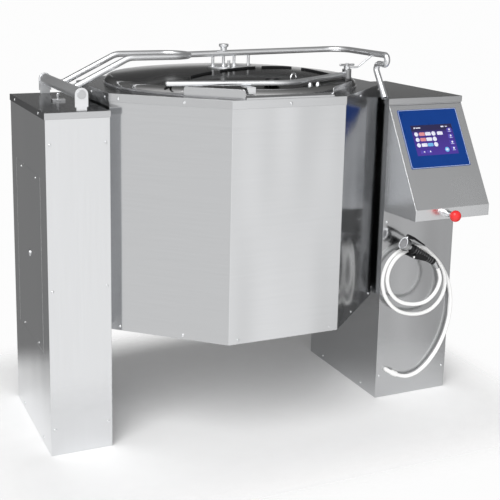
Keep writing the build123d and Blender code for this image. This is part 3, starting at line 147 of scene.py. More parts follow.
# Spray gun: its axis falls from the head to the hose
GUN_HEAD = (0.569, -0.306, 0.625)
GUN_SLOPE = 31.6
GRIP_RANGE = (0.038, 0.160)
GRIP_RADII = (0.016, 0.0115)
RIB_RANGE = (0.056, 0.147)
RIB_COUNT = 9
RIB_RADIUS = 0.0024
HEAD_RADIUS = 0.023
HEAD_BANDS = (0.0045, 0.0105, 0.0165)
BAND_RADIUS = 0.0009
LEVER_RANGE = (0.001, 0.091)
LEVER_SIDE = 0.0068
PAD_SIDE = 0.0090
CHEEK_RANGE = (0.001, 0.032)
CHEEK_PROUD = 0.0003
PAD_LEVELS = ((0.0338, 0.0340, 0.0340, 0.0338), (0.0385, 0.0400, 0.0378, 0.0362))
CHEEK_LEVELS = ((0.0248, 0.0252, 0.0270, 0.0330), (0.0380, 0.0385, 0.0380, 0.0370))
SPRAY_FACE_RADIUS = 0.0180
SPRAY_FACE_DEPTH = 0.0028
SPRAY_HOLES = 10
NOZZLE_RADIUS = 0.0016
NOZZLE_REACH = 0.011
HOLDER_SCREW = (0.607, -0.323, 0.5725)
HOLDER_SCREW_RADIUS = 0.0042

# Floor: its level under the feet, and the distances from the kettle's plan between which it fades out
FLOOR_LEVEL = -0.0006
FLOOR_HALF = (0.79, 0.497, 0.0)
FLOOR_FADE = (0.0, 0.34)

# Room: each side as a direction, the cosines where its light is full and where it ends, and its two levels
WIDE_SIDE = ((-0.55, -0.835, 0.0), 0.6, -0.35, 0.21, 0.45)
BRIGHT_SIDE = ((0.02, -1.0, 0.0), 1.0, 0.70, 0.0, 0.60)
LEFT_SIDE = ((-0.95, -0.30, 0.0), 0.95, 0.45, 0.0, 0.28)
PALE_PATCH = ((0.4274, 0.9041, 0.0), 0.960, 0.950, 0.0, 0.98)
HORIZON_BLEND = (0.06, 0.10)
LAMP_ENERGY = 2.4
LAMP_ANGLE = 50
LAMP_DIRECTION = (-0.45, -0.6, 0.66)

# Hose: the points its line is drawn by, from the outlet to the gun
HOSE_RADIUS = 0.007
HOSE_ROUTE = (
    (0.54885, -0.2426, 0.0910), (0.58885, -0.2416, 0.0700), (0.66085, -0.2386, 0.0840),
    (0.72485, -0.2386, 0.1460), (0.76885, -0.2386, 0.2280), (0.78885, -0.2386, 0.3300),
    (0.77485, -0.2386, 0.4240), (0.73485, -0.2386, 0.5020), (0.67085, -0.2386, 0.5660),
    (0.62485, -0.2396, 0.5900), (0.56085, -0.2416, 0.5920), (0.49385, -0.2456, 0.5620),
    (0.45885, -0.2486, 0.4920), (0.47085, -0.2506, 0.4140), (0.52485, -0.2516, 0.3520),
    (0.60185, -0.2526, 0.3250), (0.67785, -0.2536, 0.3310), (0.73085, -0.2546, 0.3780),
    (0.74485, -0.2556, 0.4440), (0.71985, -0.2576, 0.5100), (0.66485, -0.2596, 0.5640),
    (0.62485, -0.2606, 0.5940), (0.56085, -0.2616, 0.5900), (0.49885, -0.2646, 0.5600),
    (0.46785, -0.2666, 0.5000), (0.47885, -0.2696, 0.4380), (0.52085, -0.2726, 0.3940),
    (0.57885, -0.2766, 0.3760), (0.63685, -0.2806, 0.3790), (0.67525, -0.2846, 0.4112),
    (0.69325, -0.2876, 0.4535), (0.69085, -0.2896, 0.4874), (0.67465, -0.2906, 0.5151),
)


def corners(part):
    """Lowest and highest corner of a part, as arrays."""
    low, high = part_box(part)
    return np.array(low), np.array(high)


KETTLE_LOW, KETTLE_HIGH = corners("casing")
COLLAR_LOW, COLLAR_HIGH = corners("collar")
LEFT_LOW, LEFT_HIGH = corners("left_column_shell")
RIGHT_LOW, RIGHT_HIGH = corners("right_column_shell")
CENTRE = (KETTLE_LOW + KETTLE_HIGH) / 2 * (1, 1, 0)


# Shapes. Each is a tuple of vertices, quads and triangles.

def unit(vector):
    return np.asarray(vector, float) / np.linalg.norm(vector)


def circle(sides):
    """Points of a circle of radius 1, evenly spaced."""
    turn = np.arange(sides) * 2 * np.pi / sides
    return np.stack([np.cos(turn), np.sin(turn)], axis=-1)


def hexagon(sides):
    """Circle pulled in to six flats.

    The radius is the flat's distance over the cosine of the angle from the flat's middle.
    """
    turn = np.arange(sides) * 2 * np.pi / sides
    from_flat = np.mod(turn, np.pi / 3) - np.pi / 6
    return circle(sides) * (np.cos(np.pi / 6) / np.cos(from_flat))[:, None]


def rounded_box(width, height, sides=32, power=0.3):
    """Superellipse: an angle's cosine and sine, raised to a small power, reach into the box's corners."""
    ring = circle(sides)
    return np.sign(ring) * np.abs(ring) ** power * (width / 2, height / 2)


def skin(rings, ends=None):
    """Closed skin over rings[level, side].

    Two end points close it, and without them the last ring joins the first.
    """
    levels, sides = rings.shape[:2]
    here = np.arange(levels * sides).reshape(levels, sides)
    after = np.roll(here, -1, axis=1)
    if ends is None:
        quads = np.stack([here, after, np.roll(after, -1, axis=0), np.roll(here, -1, axis=0)], axis=-1)
        return rings.reshape(-1, 3), quads.reshape(-1, 4), np.empty((0, 3), int)
    quads = np.stack([here[:-1], after[:-1], after[1:], here[1:]], axis=-1).reshape(-1, 4)
    first = np.full(sides, levels * sides)
    start = np.stack([first, after[0], here[0]], axis=-1)
    stop = np.stack([first + 1, here[-1], after[-1]], axis=-1)
    return np.vstack([rings.reshape(-1, 3), ends]), quads, np.vstack([start, stop])


def stacked(outline, scales, heights):
    """Closed form about Z, with a middle point at each end.

    Level i is the outline times scales[i] at heights[i].
    """
    scales = np.asarray(scales, float)
    sides = outline.shape[-2]
    shape = (len(scales), sides)
    flat = scales[:, None, None] * np.broadcast_to(outline, shape + (2,))
    lift = np.broadcast_to(np.asarray(heights, float).reshape(len(scales), -1), shape)
    rings = np.concatenate([flat, lift[..., None]], axis=-1)
    return skin(rings, [(0, 0, lift[0].mean()), (0, 0, lift[-1].mean())])


def swept(path, radius, sides=12, up=(0, 0, 1), loop=False):
    """Round bar along a path: each ring stands square to the path, and up keeps the rings from twisting."""
    path = np.asarray(path, float)
    if loop:
        ahead = np.roll(path, -1, axis=0) - np.roll(path, 1, axis=0)
    else:
        ahead = np.gradient(path, axis=0)
    ahead /= np.linalg.norm(ahead, axis=1, keepdims=True)
    across = np.cross(up, ahead)
    across /= np.linalg.norm(across, axis=1, keepdims=True)
    over = np.cross(ahead, across)
    ring = circle(sides)
    reach = np.broadcast_to(radius, len(path))[:, None, None]
    around = ring[None, :, :1] * across[:, None] + ring[None, :, 1:] * over[:, None]
    rings = path[:, None] + reach * around
    return skin(rings) if loop else skin(rings, path[[0, -1]])


def placed(shape, where, towards=(0, 0, 1), twist=0.0):
    """A shape turned so that its Z points towards a direction, twisted about it, and moved to a place."""
    verts, quads, triangles = shape
    out = unit(towards)
    guide = (0, 1, 0) if abs(out[2]) > 0.9 else (0, 0, 1)
    right = unit(np.cross(guide, out))
    over = np.cross(out, right)
    turned_right = math.cos(twist) * right + math.sin(twist) * over
    turned_over = np.cross(out, turned_right)
    return verts @ np.stack([turned_right, turned_over, out]) + where, quads, triangles


def piece(name, shapes, finish, body):
    """One object made of several shapes, with a finish, riding on a body of the kettle."""
    counts = [len(verts) for verts, _, _ in shapes]
    starts = np.cumsum([0] + counts[:-1])
    verts = np.vstack([shape[0] for shape in shapes])
    quads = np.vstack([shape[1] + start for shape, start in zip(shapes, starts)])
    triangles = np.vstack([shape[2] + start for shape, start in zip(shapes, starts)])
    mesh = bpy.data.meshes.new(name)
    mesh.from_pydata(verts.tolist(), [], quads.tolist() + triangles.tolist())
    mesh.polygons.foreach_set("use_smooth", np.ones(len(mesh.polygons), bool))
    mesh.set_sharp_from_angle(angle=math.radians(40))
    mesh.materials.append(finish)
    made = bpy.data.objects.new(name, mesh)
    bpy.context.scene.collection.objects.link(made)
    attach(made, body)
    return made


# Shader groups and materials

def node(tree, kind, values=None, **settings):
    """A shader node with its settings, whose inputs are plain values or other nodes' outputs."""
    made = tree.nodes.new(kind)
    for key, value in settings.items():
        setattr(made, key, value)
    for key, value in (values or {}).items():
        if isinstance(value, bpy.types.NodeSocket):
            tree.links.new(value, made.inputs[key])
        else:
            made.inputs[key].default_value = value
    return made


def new_group(name, inputs, outputs):
    """Empty node group with named inputs and outputs, and its two end nodes."""
    tree = bpy.data.node_groups.new(name, "ShaderNodeTree")
    for label, kind, value in inputs:
        tree.interface.new_socket(name=label, in_out="INPUT", socket_type=kind).default_value = value
    for label, kind in outputs:
        tree.interface.new_socket(name=label, in_out="OUTPUT", socket_type=kind)
    return tree, tree.nodes.new("NodeGroupInput"), tree.nodes.new("NodeGroupOutput")


# Slack waves of a sheet, in noise cells for each metre across and up
SHEET_WAVES = (4.0, 4.0, 0.9)


def brushed_grain_group():
    """Brushed sheet: noise stretched along the grain, slow clouds from handling, and tall slack waves."""
    tree, given, result = new_group(
        "brushed_grain",
        [("Stretch", "NodeSocketVector", (300, 300, 10)), ("Cloud scale", "NodeSocketFloat", 2.5)],
        [("Grain", "NodeSocketFloat"), ("Cloud", "NodeSocketFloat"), ("Wave", "NodeSocketFloat")],
    )
    place = node(tree, "ShaderNodeTexCoord")
    stretched = node(
        tree, "ShaderNodeVectorMath",
        {0: place.outputs["Object"], 1: given.outputs["Stretch"]}, operation="MULTIPLY",
    )
    grain = node(
        tree, "ShaderNodeTexNoise",
        {"Vector": stretched.outputs[0], "Scale": 1.0, "Detail": 3.0, "Roughness": 0.6},
    )
    cloud = node(
        tree, "ShaderNodeTexNoise",
        {"Vector": place.outputs["Object"], "Scale": given.outputs["Cloud scale"], "Detail": 3.0},
    )
    tall = node(
        tree, "ShaderNodeVectorMath", {0: place.outputs["Object"], 1: SHEET_WAVES}, operation="MULTIPLY",
    )
    wave = node(tree, "ShaderNodeTexNoise", {"Vector": tall.outputs[0], "Scale": 1.0, "Detail": 1.0})
    tree.links.new(wave.outputs["Fac"], result.inputs["Wave"])
    tree.links.new(grain.outputs["Fac"], result.inputs["Grain"])
    tree.links.new(cloud.outputs["Fac"], result.inputs["Cloud"])
    return tree


def soft_fold_group():
    """Rounds folds and rims: a bevelled normal, and a mask of where it leaves the flat one, along which the
    finishes paint a paler highlight.
    """
    tree, given, result = new_group(
        "soft_fold",
        [("Radius", "NodeSocketFloat", 0.002)],
        [("Normal", "NodeSocketVector"), ("Fold", "NodeSocketFloat")],
    )
    bevel = node(tree, "ShaderNodeBevel", {"Radius": given.outputs["Radius"]}, samples=4)
    flat = node(tree, "ShaderNodeNewGeometry")
    along = node(
        tree, "ShaderNodeVectorMath",
        {0: bevel.outputs[0], 1: flat.outputs["Normal"]}, operation="DOT_PRODUCT",
    )
    fold = node(
        tree, "ShaderNodeMapRange",
        {"Value": along.outputs["Value"], "From Min": 0.99, "From Max": 0.8, "To Min": 0.0, "To Max": 1.0},
    )
    tree.links.new(bevel.outputs[0], result.inputs["Normal"])
    tree.links.new(fold.outputs[0], result.inputs["Fold"])
    return tree


def speckle_group():
    """Fine grain of castings, paint, rubber and moulded plastic: one noise for height, one for shade."""
    tree, given, result = new_group(
        "speckle",
        [("Scale", "NodeSocketFloat", 400.0)],
        [("Height", "NodeSocketFloat"), ("Shade", "NodeSocketFloat")],
    )
    place = node(tree, "ShaderNodeTexCoord")
    fine = node(
        tree, "ShaderNodeTexNoise",
        {"Vector": place.outputs["Object"], "Scale": given.outputs["Scale"], "Detail": 4.0},
    )
    broad = node(
        tree, "ShaderNodeTexNoise",
        {"Vector": place.outputs["Object"], "Scale": 14.0, "Detail": 4.0},
    )
    tree.links.new(fine.outputs["Fac"], result.inputs["Height"])
    tree.links.new(broad.outputs["Fac"], result.inputs["Shade"])
    return tree


GRAIN = brushed_grain_group()
SOFT_FOLD = soft_fold_group()
SPECKLE = speckle_group()


def new_finish(name, **plain):
    """Material with one Principled shader whose plain inputs are set, its tree and the shader."""
    made = bpy.data.materials.new(name)
    made.use_nodes = True
    tree = made.node_tree
    shader = tree.nodes["Principled BSDF"]
    for label, value in plain.items():
        shader.inputs[label.replace("_", " ")].default_value = value
    return made, tree, shader


def grouped(tree, group, **values):
    """A shared effect placed in a material with its own values."""
    made = tree.nodes.new("ShaderNodeGroup")
    made.node_tree = group
    for label, value in values.items():
        made.inputs[label.replace("_", " ")].default_value = value
    return made


def ranged(tree, value, low, high, start=0.3, stop=0.7):
    """Value moved from start..stop to low..high."""
    return node(
        tree, "ShaderNodeMapRange",
        {"Value": value, "From Min": start, "From Max": stop, "To Min": low, "To Max": high},
    ).outputs[0]


def blended(tree, amount, first, second):
    """Colour between two colours."""
    return node(tree, "ShaderNodeMix", {0: amount, 6: first, 7: second}, data_type="RGBA").outputs[2]


def grey(level, tint=(1.0, 1.0, 1.0)):
    return tuple(level * part for part in tint) + (1.0,)


STEEL_TINT = (0.985, 0.995, 1.01)


def steel(name, shade, rough, stretch, fold=0.0022, depth=0.00001, streak=0.02, rim=1.0, slack=0.0):
    """Ground stainless sheet: streaks shift its shade and gloss, and clouds break up its sheen.

    Rounded folds catch the light, and a paler colour is painted along them as a highlight. Slack is the
    height of the sheet's tall waves.
    """
    made, tree, shader = new_finish(name, Metallic=1.0, Specular_Tint=grey(rim))
    marks = grouped(tree, GRAIN, Stretch=stretch)
    edge = grouped(tree, SOFT_FOLD, Radius=fold)
    streaks = blended(
        tree, ranged(tree, marks.outputs["Grain"], 0.0, 1.0),
        grey(shade * (1 - streak), STEEL_TINT), grey(min(shade * (1 + streak), 1.0), STEEL_TINT),
    )
    # Painted highlight: the colour turns paler along rounded folds and rims
    highlighted_tone = blended(tree, edge.outputs["Fold"], streaks, grey(min(shade * 1.25, 0.95), STEEL_TINT))
    gloss = node(
        tree, "ShaderNodeMath",
        {0: ranged(tree, marks.outputs["Cloud"], rough * 0.85, rough * 1.15),
         1: ranged(tree, marks.outputs["Grain"], -0.012, 0.012)},
        operation="ADD",
    )
    waves = node(
        tree, "ShaderNodeBump",
        {"Height": marks.outputs["Wave"], "Normal": edge.outputs["Normal"], "Strength": 1.0,
         "Distance": slack},
    )
    bump = node(
        tree, "ShaderNodeBump",
        {"Height": marks.outputs["Grain"], "Normal": waves.outputs[0], "Strength": 0.25, "Distance": depth},
    )
    tree.links.new(highlighted_tone, shader.inputs["Base Color"])
    tree.links.new(gloss.outputs[0], shader.inputs["Roughness"])
    tree.links.new(bump.outputs[0], shader.inputs["Normal"])
    return made


def coated(name, colour, shade_shift, rough, scale, depth, fold=0.0012, **plain):
    """Paint, plastic, rubber or casting: a speckled surface with a drifting colour and edges painted paler
    as a highlight.
    """
    made, tree, shader = new_finish(name, **plain)
    marks = grouped(tree, SPECKLE, Scale=scale)
    edge = grouped(tree, SOFT_FOLD, Radius=fold)
    darker = tuple(part * (1 - shade_shift) for part in colour) + (1.0,)
    lighter = tuple(min(part * (1 + shade_shift), 1.0) for part in colour) + (1.0,)
    # Painted highlight: edges take a paler colour along the rounded folds
    edge_highlight_colour = tuple(min(part * 1.35 + 0.02, 1.0) for part in colour) + (1.0,)
    drift = blended(tree, ranged(tree, marks.outputs["Shade"], 0.0, 1.0), darker, lighter)
    highlighted_tone = blended(tree, edge.outputs["Fold"], drift, edge_highlight_colour)
    bump = node(
        tree, "ShaderNodeBump",
        {"Height": marks.outputs["Height"], "Normal": edge.outputs["Normal"], "Strength": 0.3,
         "Distance": depth},
    )
    tree.links.new(highlighted_tone, shader.inputs["Base Color"])
    gloss = ranged(tree, marks.outputs["Shade"], rough * 0.85, rough * 1.15)
    tree.links.new(gloss, shader.inputs["Roughness"])
    tree.links.new(bump.outputs[0], shader.inputs["Normal"])
    return made


def screen_finish():
    """Lit display under glass: deep violet with a darker upper bar, by the height on the slope."""
    made, tree, shader = new_finish(
        "touch_screen_glass", Roughness=0.12, Coat_Weight=1.0, Coat_Roughness=0.03,
        Emission_Strength=1.0,
    )
    place = node(tree, "ShaderNodeTexCoord")
    level = node(tree, "ShaderNodeSeparateXYZ", {0: place.outputs["Object"]}).outputs["Z"]
    low, high = corners("touch_screen")
    rise = ranged(tree, level, 0.0, 1.0, low[2], high[2])
    glow = node(tree, "ShaderNodeValToRGB", {"Fac": rise})
    ramp = glow.color_ramp
    ramp.elements[0].color = (0.030, 0.012, 0.16, 1)
    ramp.elements[1].color = (0.004, 0.002, 0.03, 1)
    ramp.elements.new(0.78).color = (0.018, 0.006, 0.10, 1)
    ramp.elements.new(0.84).color = (0.004, 0.002, 0.03, 1)
    speck = grouped(tree, SPECKLE, Scale=900.0)
    tree.links.new(glow.outputs["Color"], shader.inputs["Base Color"])
    tree.links.new(glow.outputs["Color"], shader.inputs["Emission Color"])
    tree.links.new(ranged(tree, speck.outputs["Shade"], 0.08, 0.16), shader.inputs["Roughness"])
    return made


def lit_mark(name, colour):
    """Lit picture element on the screen, with a faint unevenness in its light."""
    made, tree, shader = new_finish(name, Roughness=0.4, Emission_Strength=0.28)
    speck = grouped(tree, SPECKLE, Scale=300.0)
    tone = blended(
        tree, ranged(tree, speck.outputs["Height"], 0.0, 1.0),
        tuple(part * 0.8 for part in colour) + (1.0,), tuple(colour) + (1.0,),
    )
    tree.links.new(tone, shader.inputs["Base Color"])
    tree.links.new(tone, shader.inputs["Emission Color"])
    return made


def lid_finish():
    """Polished lid sheet: rings round the lid's middle shift its shade, and clouds shift its gloss."""
    made, tree, shader = new_finish("polished_lid_sheet", Metallic=1.0, Specular_Tint=grey(0.32))
    place = node(tree, "ShaderNodeTexCoord")
    centred = node(
        tree, "ShaderNodeMapping", {"Vector": place.outputs["Object"], "Location": tuple(-CENTRE)},
    )
    flat = node(tree, "ShaderNodeVectorMath", {0: centred.outputs[0], 1: (1, 1, 0)}, operation="MULTIPLY")
    reach = node(tree, "ShaderNodeVectorMath", {0: flat.outputs[0]}, operation="LENGTH")
    rings = node(
        tree, "ShaderNodeTexNoise",
        {"W": reach.outputs["Value"], "Scale": 260.0, "Detail": 3.0}, noise_dimensions="1D",
    )
    marks = grouped(tree, GRAIN, Stretch=(60, 60, 60), Cloud_scale=5.0)
    edge = grouped(tree, SOFT_FOLD, Radius=0.003)
    tone = blended(tree, ranged(tree, rings.outputs["Fac"], 0.0, 1.0), grey(0.46), grey(0.54))
    bump = node(
        tree, "ShaderNodeBump",
        {"Height": rings.outputs["Fac"], "Normal": edge.outputs["Normal"], "Strength": 0.12,
         "Distance": 0.00004},
    )
    tree.links.new(tone, shader.inputs["Base Color"])
    tree.links.new(ranged(tree, marks.outputs["Cloud"], 0.10, 0.18), shader.inputs["Roughness"])
    tree.links.new(bump.outputs[0], shader.inputs["Normal"])
    return made


ALONG_Z = (260, 260, 5)
ALONG_X = (5, 260, 260)
ALONG_LEVEL = (5, 5, 240)

FINISHES = {
    "upright_sheet": steel("upright_sheet", 0.74, 0.16, ALONG_Z, streak=0.012, slack=0.006),
    # The right column's sheet: the same as upright_sheet, painted darker as the shade of the hood above it
    "painted_shade_sheet": steel("painted_shade_sheet", 0.54, 0.17, ALONG_Z, streak=0.012, slack=0.010),
    # Same as upright_sheet with a wider fold, so that the painted highlight along the service panel's edges
    # is wider
    "panel_sheet": steel("panel_sheet", 0.74, 0.16, ALONG_Z, fold=0.0045, streak=0.012, slack=0.006),
    "level_sheet": steel("level_sheet", 0.56, 0.18, ALONG_X, rim=0.45),
    "kettle_sheet": steel(
        "kettle_sheet", 0.74, 0.14, ALONG_LEVEL, depth=0.000004, streak=0.014, rim=0.4, slack=0.010,
    ),
    "hood_sheet": steel("hood_sheet", 0.90, 0.26, ALONG_Z, depth=0.0, streak=0.004, rim=0.2),
    "rim_sheet": steel("rim_sheet", 0.70, 0.18, ALONG_X, rim=0.5),
    "bright_tube": steel("bright_tube", 0.86, 0.36, ALONG_X, fold=0.001, depth=0.0),
    "dark_steel": steel("dark_steel", 0.34, 0.32, ALONG_X, fold=0.001),
    "lid_sheet": lid_finish(),
    "vessel_sheet": steel("vessel_sheet", 0.60, 0.22, ALONG_X),
    "raw_sheet": steel("raw_sheet", 0.52, 0.42, (40, 40, 40), depth=0.0002),
    "turned_steel": steel("turned_steel", 0.60, 0.28, ALONG_X, fold=0.001),
    "gun_metal": steel("gun_metal", 0.55, 0.16, (30, 30, 30), fold=0.0008),
    "chrome": steel("chrome", 0.78, 0.12, (30, 30, 30), fold=0.0008, depth=0.00001),
    "painted_frame": coated("painted_frame", (0.12, 0.125, 0.13), 0.15, 0.5, 300, 0.0002),
    "painted_drive": coated("painted_drive", (0.10, 0.16, 0.24), 0.12, 0.42, 300, 0.0002),
    "cast_bearing": coated("cast_bearing", (0.16, 0.165, 0.17), 0.2, 0.62, 220, 0.0006),
    "mineral_wool": coated("mineral_wool", (0.62, 0.56, 0.38), 0.2, 0.95, 90, 0.004),
    "blue_overlay": coated(
        "blue_overlay", (0.006, 0.040, 0.205), 0.05, 0.30, 500, 0.00001, Specular_IOR_Level=0.12,
    ),
    "screen_glass": screen_finish(),
    "board_green": coated("board_green", (0.02, 0.16, 0.06), 0.2, 0.5, 200, 0.0002),
    "red_plastic": coated("red_plastic", (0.80, 0.030, 0.030), 0.06, 0.26, 300, 0.00008),
    "black_plastic": coated(
        "black_plastic", (0.008, 0.008, 0.009), 0.2, 0.34, 350, 0.0001, Specular_IOR_Level=0.3,
    ),
    "black_rubber": coated(
        "black_rubber", (0.009, 0.009, 0.010), 0.2, 0.55, 260, 0.0002, Specular_IOR_Level=0.2,
    ),
    "grey_rubber": coated("grey_rubber", (0.30, 0.30, 0.31), 0.12, 0.7, 260, 0.0004),
    "white_plastic": coated("white_plastic", (0.88, 0.88, 0.87), 0.03, 0.35, 300, 0.0001),
    "white_hose": coated("white_hose", (0.90, 0.90, 0.89), 0.03, 0.30, 180, 0.0001),
    "valve_brass": coated("valve_brass", (0.72, 0.52, 0.22), 0.1, 0.3, 200, 0.0002, Metallic=1.0),
    # Painted highlight along the blue overlay's edge
    "overlay_edge_highlight": coated("overlay_edge_highlight", (0.42, 0.50, 0.72), 0.04, 0.4, 300, 0.00005),
    # The grip's ribs: its black rubber painted lighter, as a highlight on them, and made glossier
    "rib_rubber_painted_highlight": coated("rib_rubber_painted_highlight", (0.070, 0.070, 0.073), 0.1, 0.26, 300, 0.00005),
    "pale_mark": lit_mark("pale_mark", (0.62, 0.62, 0.72)),
    "warm_mark": lit_mark("warm_mark", (0.55, 0.20, 0.22)),
    "cool_mark": lit_mark("cool_mark", (0.12, 0.35, 0.62)),
    "violet_mark": lit_mark("violet_mark", (0.055, 0.035, 0.30)),
}

PART_FINISHES = {
    "upright_sheet": ("left_column_shell",),
    "painted_shade_sheet": ("right_column_shell",),
    "kettle_sheet": ("casing",),
    "panel_sheet": ("service_panel",),
    "level_sheet": (
        "left_top_cover", "right_top_cover", "bottom_plate", "left_base_plate", "right_base_plate",
    ),
    "hood_sheet": ("control_hood",),
    "rim_sheet": ("collar", "pouring_lip"),
    "bright_tube": (
        "twin_arm", "handle_tube", "front_bar", "bar_strap", "hub_plate", "hub_studs", "tube_cap",
        "front_hinge_ear", "rear_hinge_ear", "hinge_barrel", "stay_rod",
    ),
    "dark_steel": ("bar_clamp",),
    "lid_sheet": ("lid_shell",),
    "vessel_sheet": ("vessel", "lid_liner"),
    "raw_sheet": ("steam_jacket", "heating_elements"),
    "turned_steel": ("left_trunnion", "right_trunnion", "lid_hinge_pin", "clamp_screw", "lever_pin"),
    "chrome": ("stop_button_bezel", "panel_lock", "lid_position_switch"),
    "gun_metal": ("spray_head", "gun_swivel"),
    "painted_frame": ("left_post", "right_post"),
    "painted_drive": ("tilt_drive",),
    "cast_bearing": ("left_bearing_block", "right_bearing_block"),
    "mineral_wool": ("insulation",),
    "blue_overlay": ("control_panel",),
    "screen_glass": ("touch_screen",),
    "board_green": ("control_board",),
    "red_plastic": ("stop_button",),
    "black_plastic": ("gun_lever", "gun_holder", "lid_knob"),
    "black_rubber": ("gun_grip",),
    "grey_rubber": ("lid_seal",),
    "white_plastic": ("hose_outlet", "hose_ferrule"),
    "valve_brass": ("water_inlet", "solenoid_valve", "water_pipe"),
}


def finish_parts():
    """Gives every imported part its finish."""
    for finish, parts in PART_FINISHES.items():
        for part in parts:
            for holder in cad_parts[part].material_slots:
                holder.material = FINISHES[finish]


# Screws

def screw_head(radius=SCREW_RADIUS, height=SCREW_HEIGHT):
    """Pan head: a low dome with a cross recess sunk in its middle."""
    sides = 24
    scales = np.array([1.0, 1.0, 0.92, 0.75, 0.55, 0.38, 0.2, 0.05]) * radius
    lift = np.array([0.0, 0.35, 0.62, 0.85, 0.97, 1.0, 1.0, 1.0])[:, None] * height
    turn = np.arange(sides) * 2 * np.pi / sides
    across = np.minimum(np.abs(np.sin(turn)), np.abs(np.cos(turn))) * scales[:, None]
    groove = (across < radius * RECESS_WIDTH) & (scales[:, None] < radius * RECESS_REACH)
    return stacked(circle(sides), scales, lift - groove * height * RECESS_DEPTH)


def screws_at(places, radius=SCREW_RADIUS):
    """Screw heads at (place, direction) pairs, each turned a little further than the last."""
    head = screw_head(radius)
    return [
        placed(head, np.array(where), towards, twist=0.7 * index)
        for index, (where, towards) in enumerate(places)
    ]


def face_screws(low, high, levels):
    """Screws down both edges of a column's front and back."""
    return [
        ((x, y, level), (0, facing, 0))
        for y, facing in ((low[1], -1), (high[1], 1))
        for x in (low[0] + COLUMN_SCREW_INSET, high[0] - COLUMN_SCREW_INSET)
        for level in levels
    ]


def side_screws(low, high, x, facing, level, places):
    """Screws along one side, at shares of its depth."""
    return [((x, low[1] + share * (high[1] - low[1]), level), (facing, 0, 0)) for share in places]


def octagon(half_width, half_depth):
    """Corners of the kettle's outline, anticlockwise from the left facet's front corner."""
    front = FLAT_FRONT_HALF + (half_depth - OUTLINE_HALF[1]) * FLAT_GROWTH
    side = FLAT_SIDE_HALF + (half_width - OUTLINE_HALF[0]) * FLAT_GROWTH
    quarter = np.array([(-half_width, -side), (-front, -half_depth)])
    right = quarter[::-1] * (-1, 1)
    ring = np.vstack([quarter, right])
    return np.vstack([ring, ring * -1])


def facet_screws(ring, level, front_places, side_places):
    """Screws on the eight facets, from the front left one anticlockwise.

    Every second facet is slanted, with its screws nearer one end. Facets 3 and 7, counted from 0, are
    the kettle's sides.
    """
    found = []
    for index in range(8):
        start, stop = ring[index], ring[(index + 1) % 8]
        out = unit((stop[1] - start[1], start[0] - stop[0], 0.0))
        slanted = index % 2 == 0
        shares = SLANTED_SCREW_PLACES if slanted else front_places
        if slanted and index in (2, 6):
            shares = tuple(1 - share for share in shares)
        if index in (3, 7):
            shares = side_places
        for share in shares:
            spot = start + share * (stop - start) + CENTRE[:2]
            found.append(((spot[0], spot[1], level), out))
    return found


def add_screws():
    """All sheet screws, one object for each part they hold."""
    left = face_screws(LEFT_LOW, LEFT_HIGH, COLUMN_SCREW_LEVELS)
    left += side_screws(LEFT_LOW, LEFT_HIGH, LEFT_LOW[0], -1, FOOT_SCREW_LEVEL, FOOT_SCREW_PLACES)
    right = face_screws(RIGHT_LOW, RIGHT_HIGH, RIGHT_SCREW_LEVELS)
    for x, facing in ((RIGHT_LOW[0], -1), (RIGHT_HIGH[0], 1)):
        right += side_screws(RIGHT_LOW, RIGHT_HIGH, x, facing, FOOT_SCREW_LEVEL, FOOT_SCREW_PLACES)
    piece("left_column_screws", screws_at(left), FINISHES["chrome"], "frame")
    piece("right_column_screws", screws_at(right), FINISHES["chrome"], "frame")

    for side in ("left", "right"):
        low, high = corners(side + "_top_cover")
        level = high[2] - COVER_SCREW_DROP
        spots = []
        for x, facing in ((low[0], -1), (high[0], 1)):
            spots += side_screws(low, high, x, facing, level, COVER_SCREW_PLACES)
        piece(side + "_cover_screws", screws_at(spots), FINISHES["chrome"], "frame")

    reach = (COLLAR_HIGH - COLLAR_LOW) / 2
    level = COLLAR_HIGH[2] - COLLAR_SCREW_DROP
    spots = facet_screws(octagon(reach[0], reach[1]), level, *COLLAR_SCREW_PLACES)
    piece("collar_screws", screws_at(spots), FINISHES["chrome"], "kettle")
    reach = (KETTLE_HIGH - KETTLE_LOW) / 2
    level = KETTLE_LOW[2] + CASING_SCREW_RISE
    spots = facet_screws(octagon(reach[0], reach[1]), level, *CASING_SCREW_PLACES)
    piece("casing_screws", screws_at(spots), FINISHES["chrome"], "kettle")

    low, high = corners("service_panel")
    spots = [
        ((low[0], low[1] + share * (high[1] - low[1]), level), (-1, 0, 0))
        for share in PANEL_SCREW_PLACES
        for level in (high[2] - PANEL_SCREW_INSET, low[2] + PANEL_SCREW_INSET)
    ]
    screws = screws_at(spots, SMALL_SCREW_RADIUS)
    piece("service_panel_screws", screws, FINISHES["chrome"], "frame")


# Lid

def dome_level(reach):
    """Height of the lid's dome, a sphere's cap, at a distance from its middle."""
    top = corners("lid_shell")[1][2]
    ball = (DOME_RADIUS ** 2 + DOME_RISE ** 2) / (2 * DOME_RISE)
    return top - ball + np.sqrt(ball ** 2 - np.asarray(reach) ** 2)


def on_dome(points):
    """Points given from the lid's middle, put on its dome."""
    points = np.asarray(points, float)
    level = dome_level(np.linalg.norm(points, axis=-1))
    return np.concatenate([points + CENTRE[:2], level[..., None]], axis=-1)


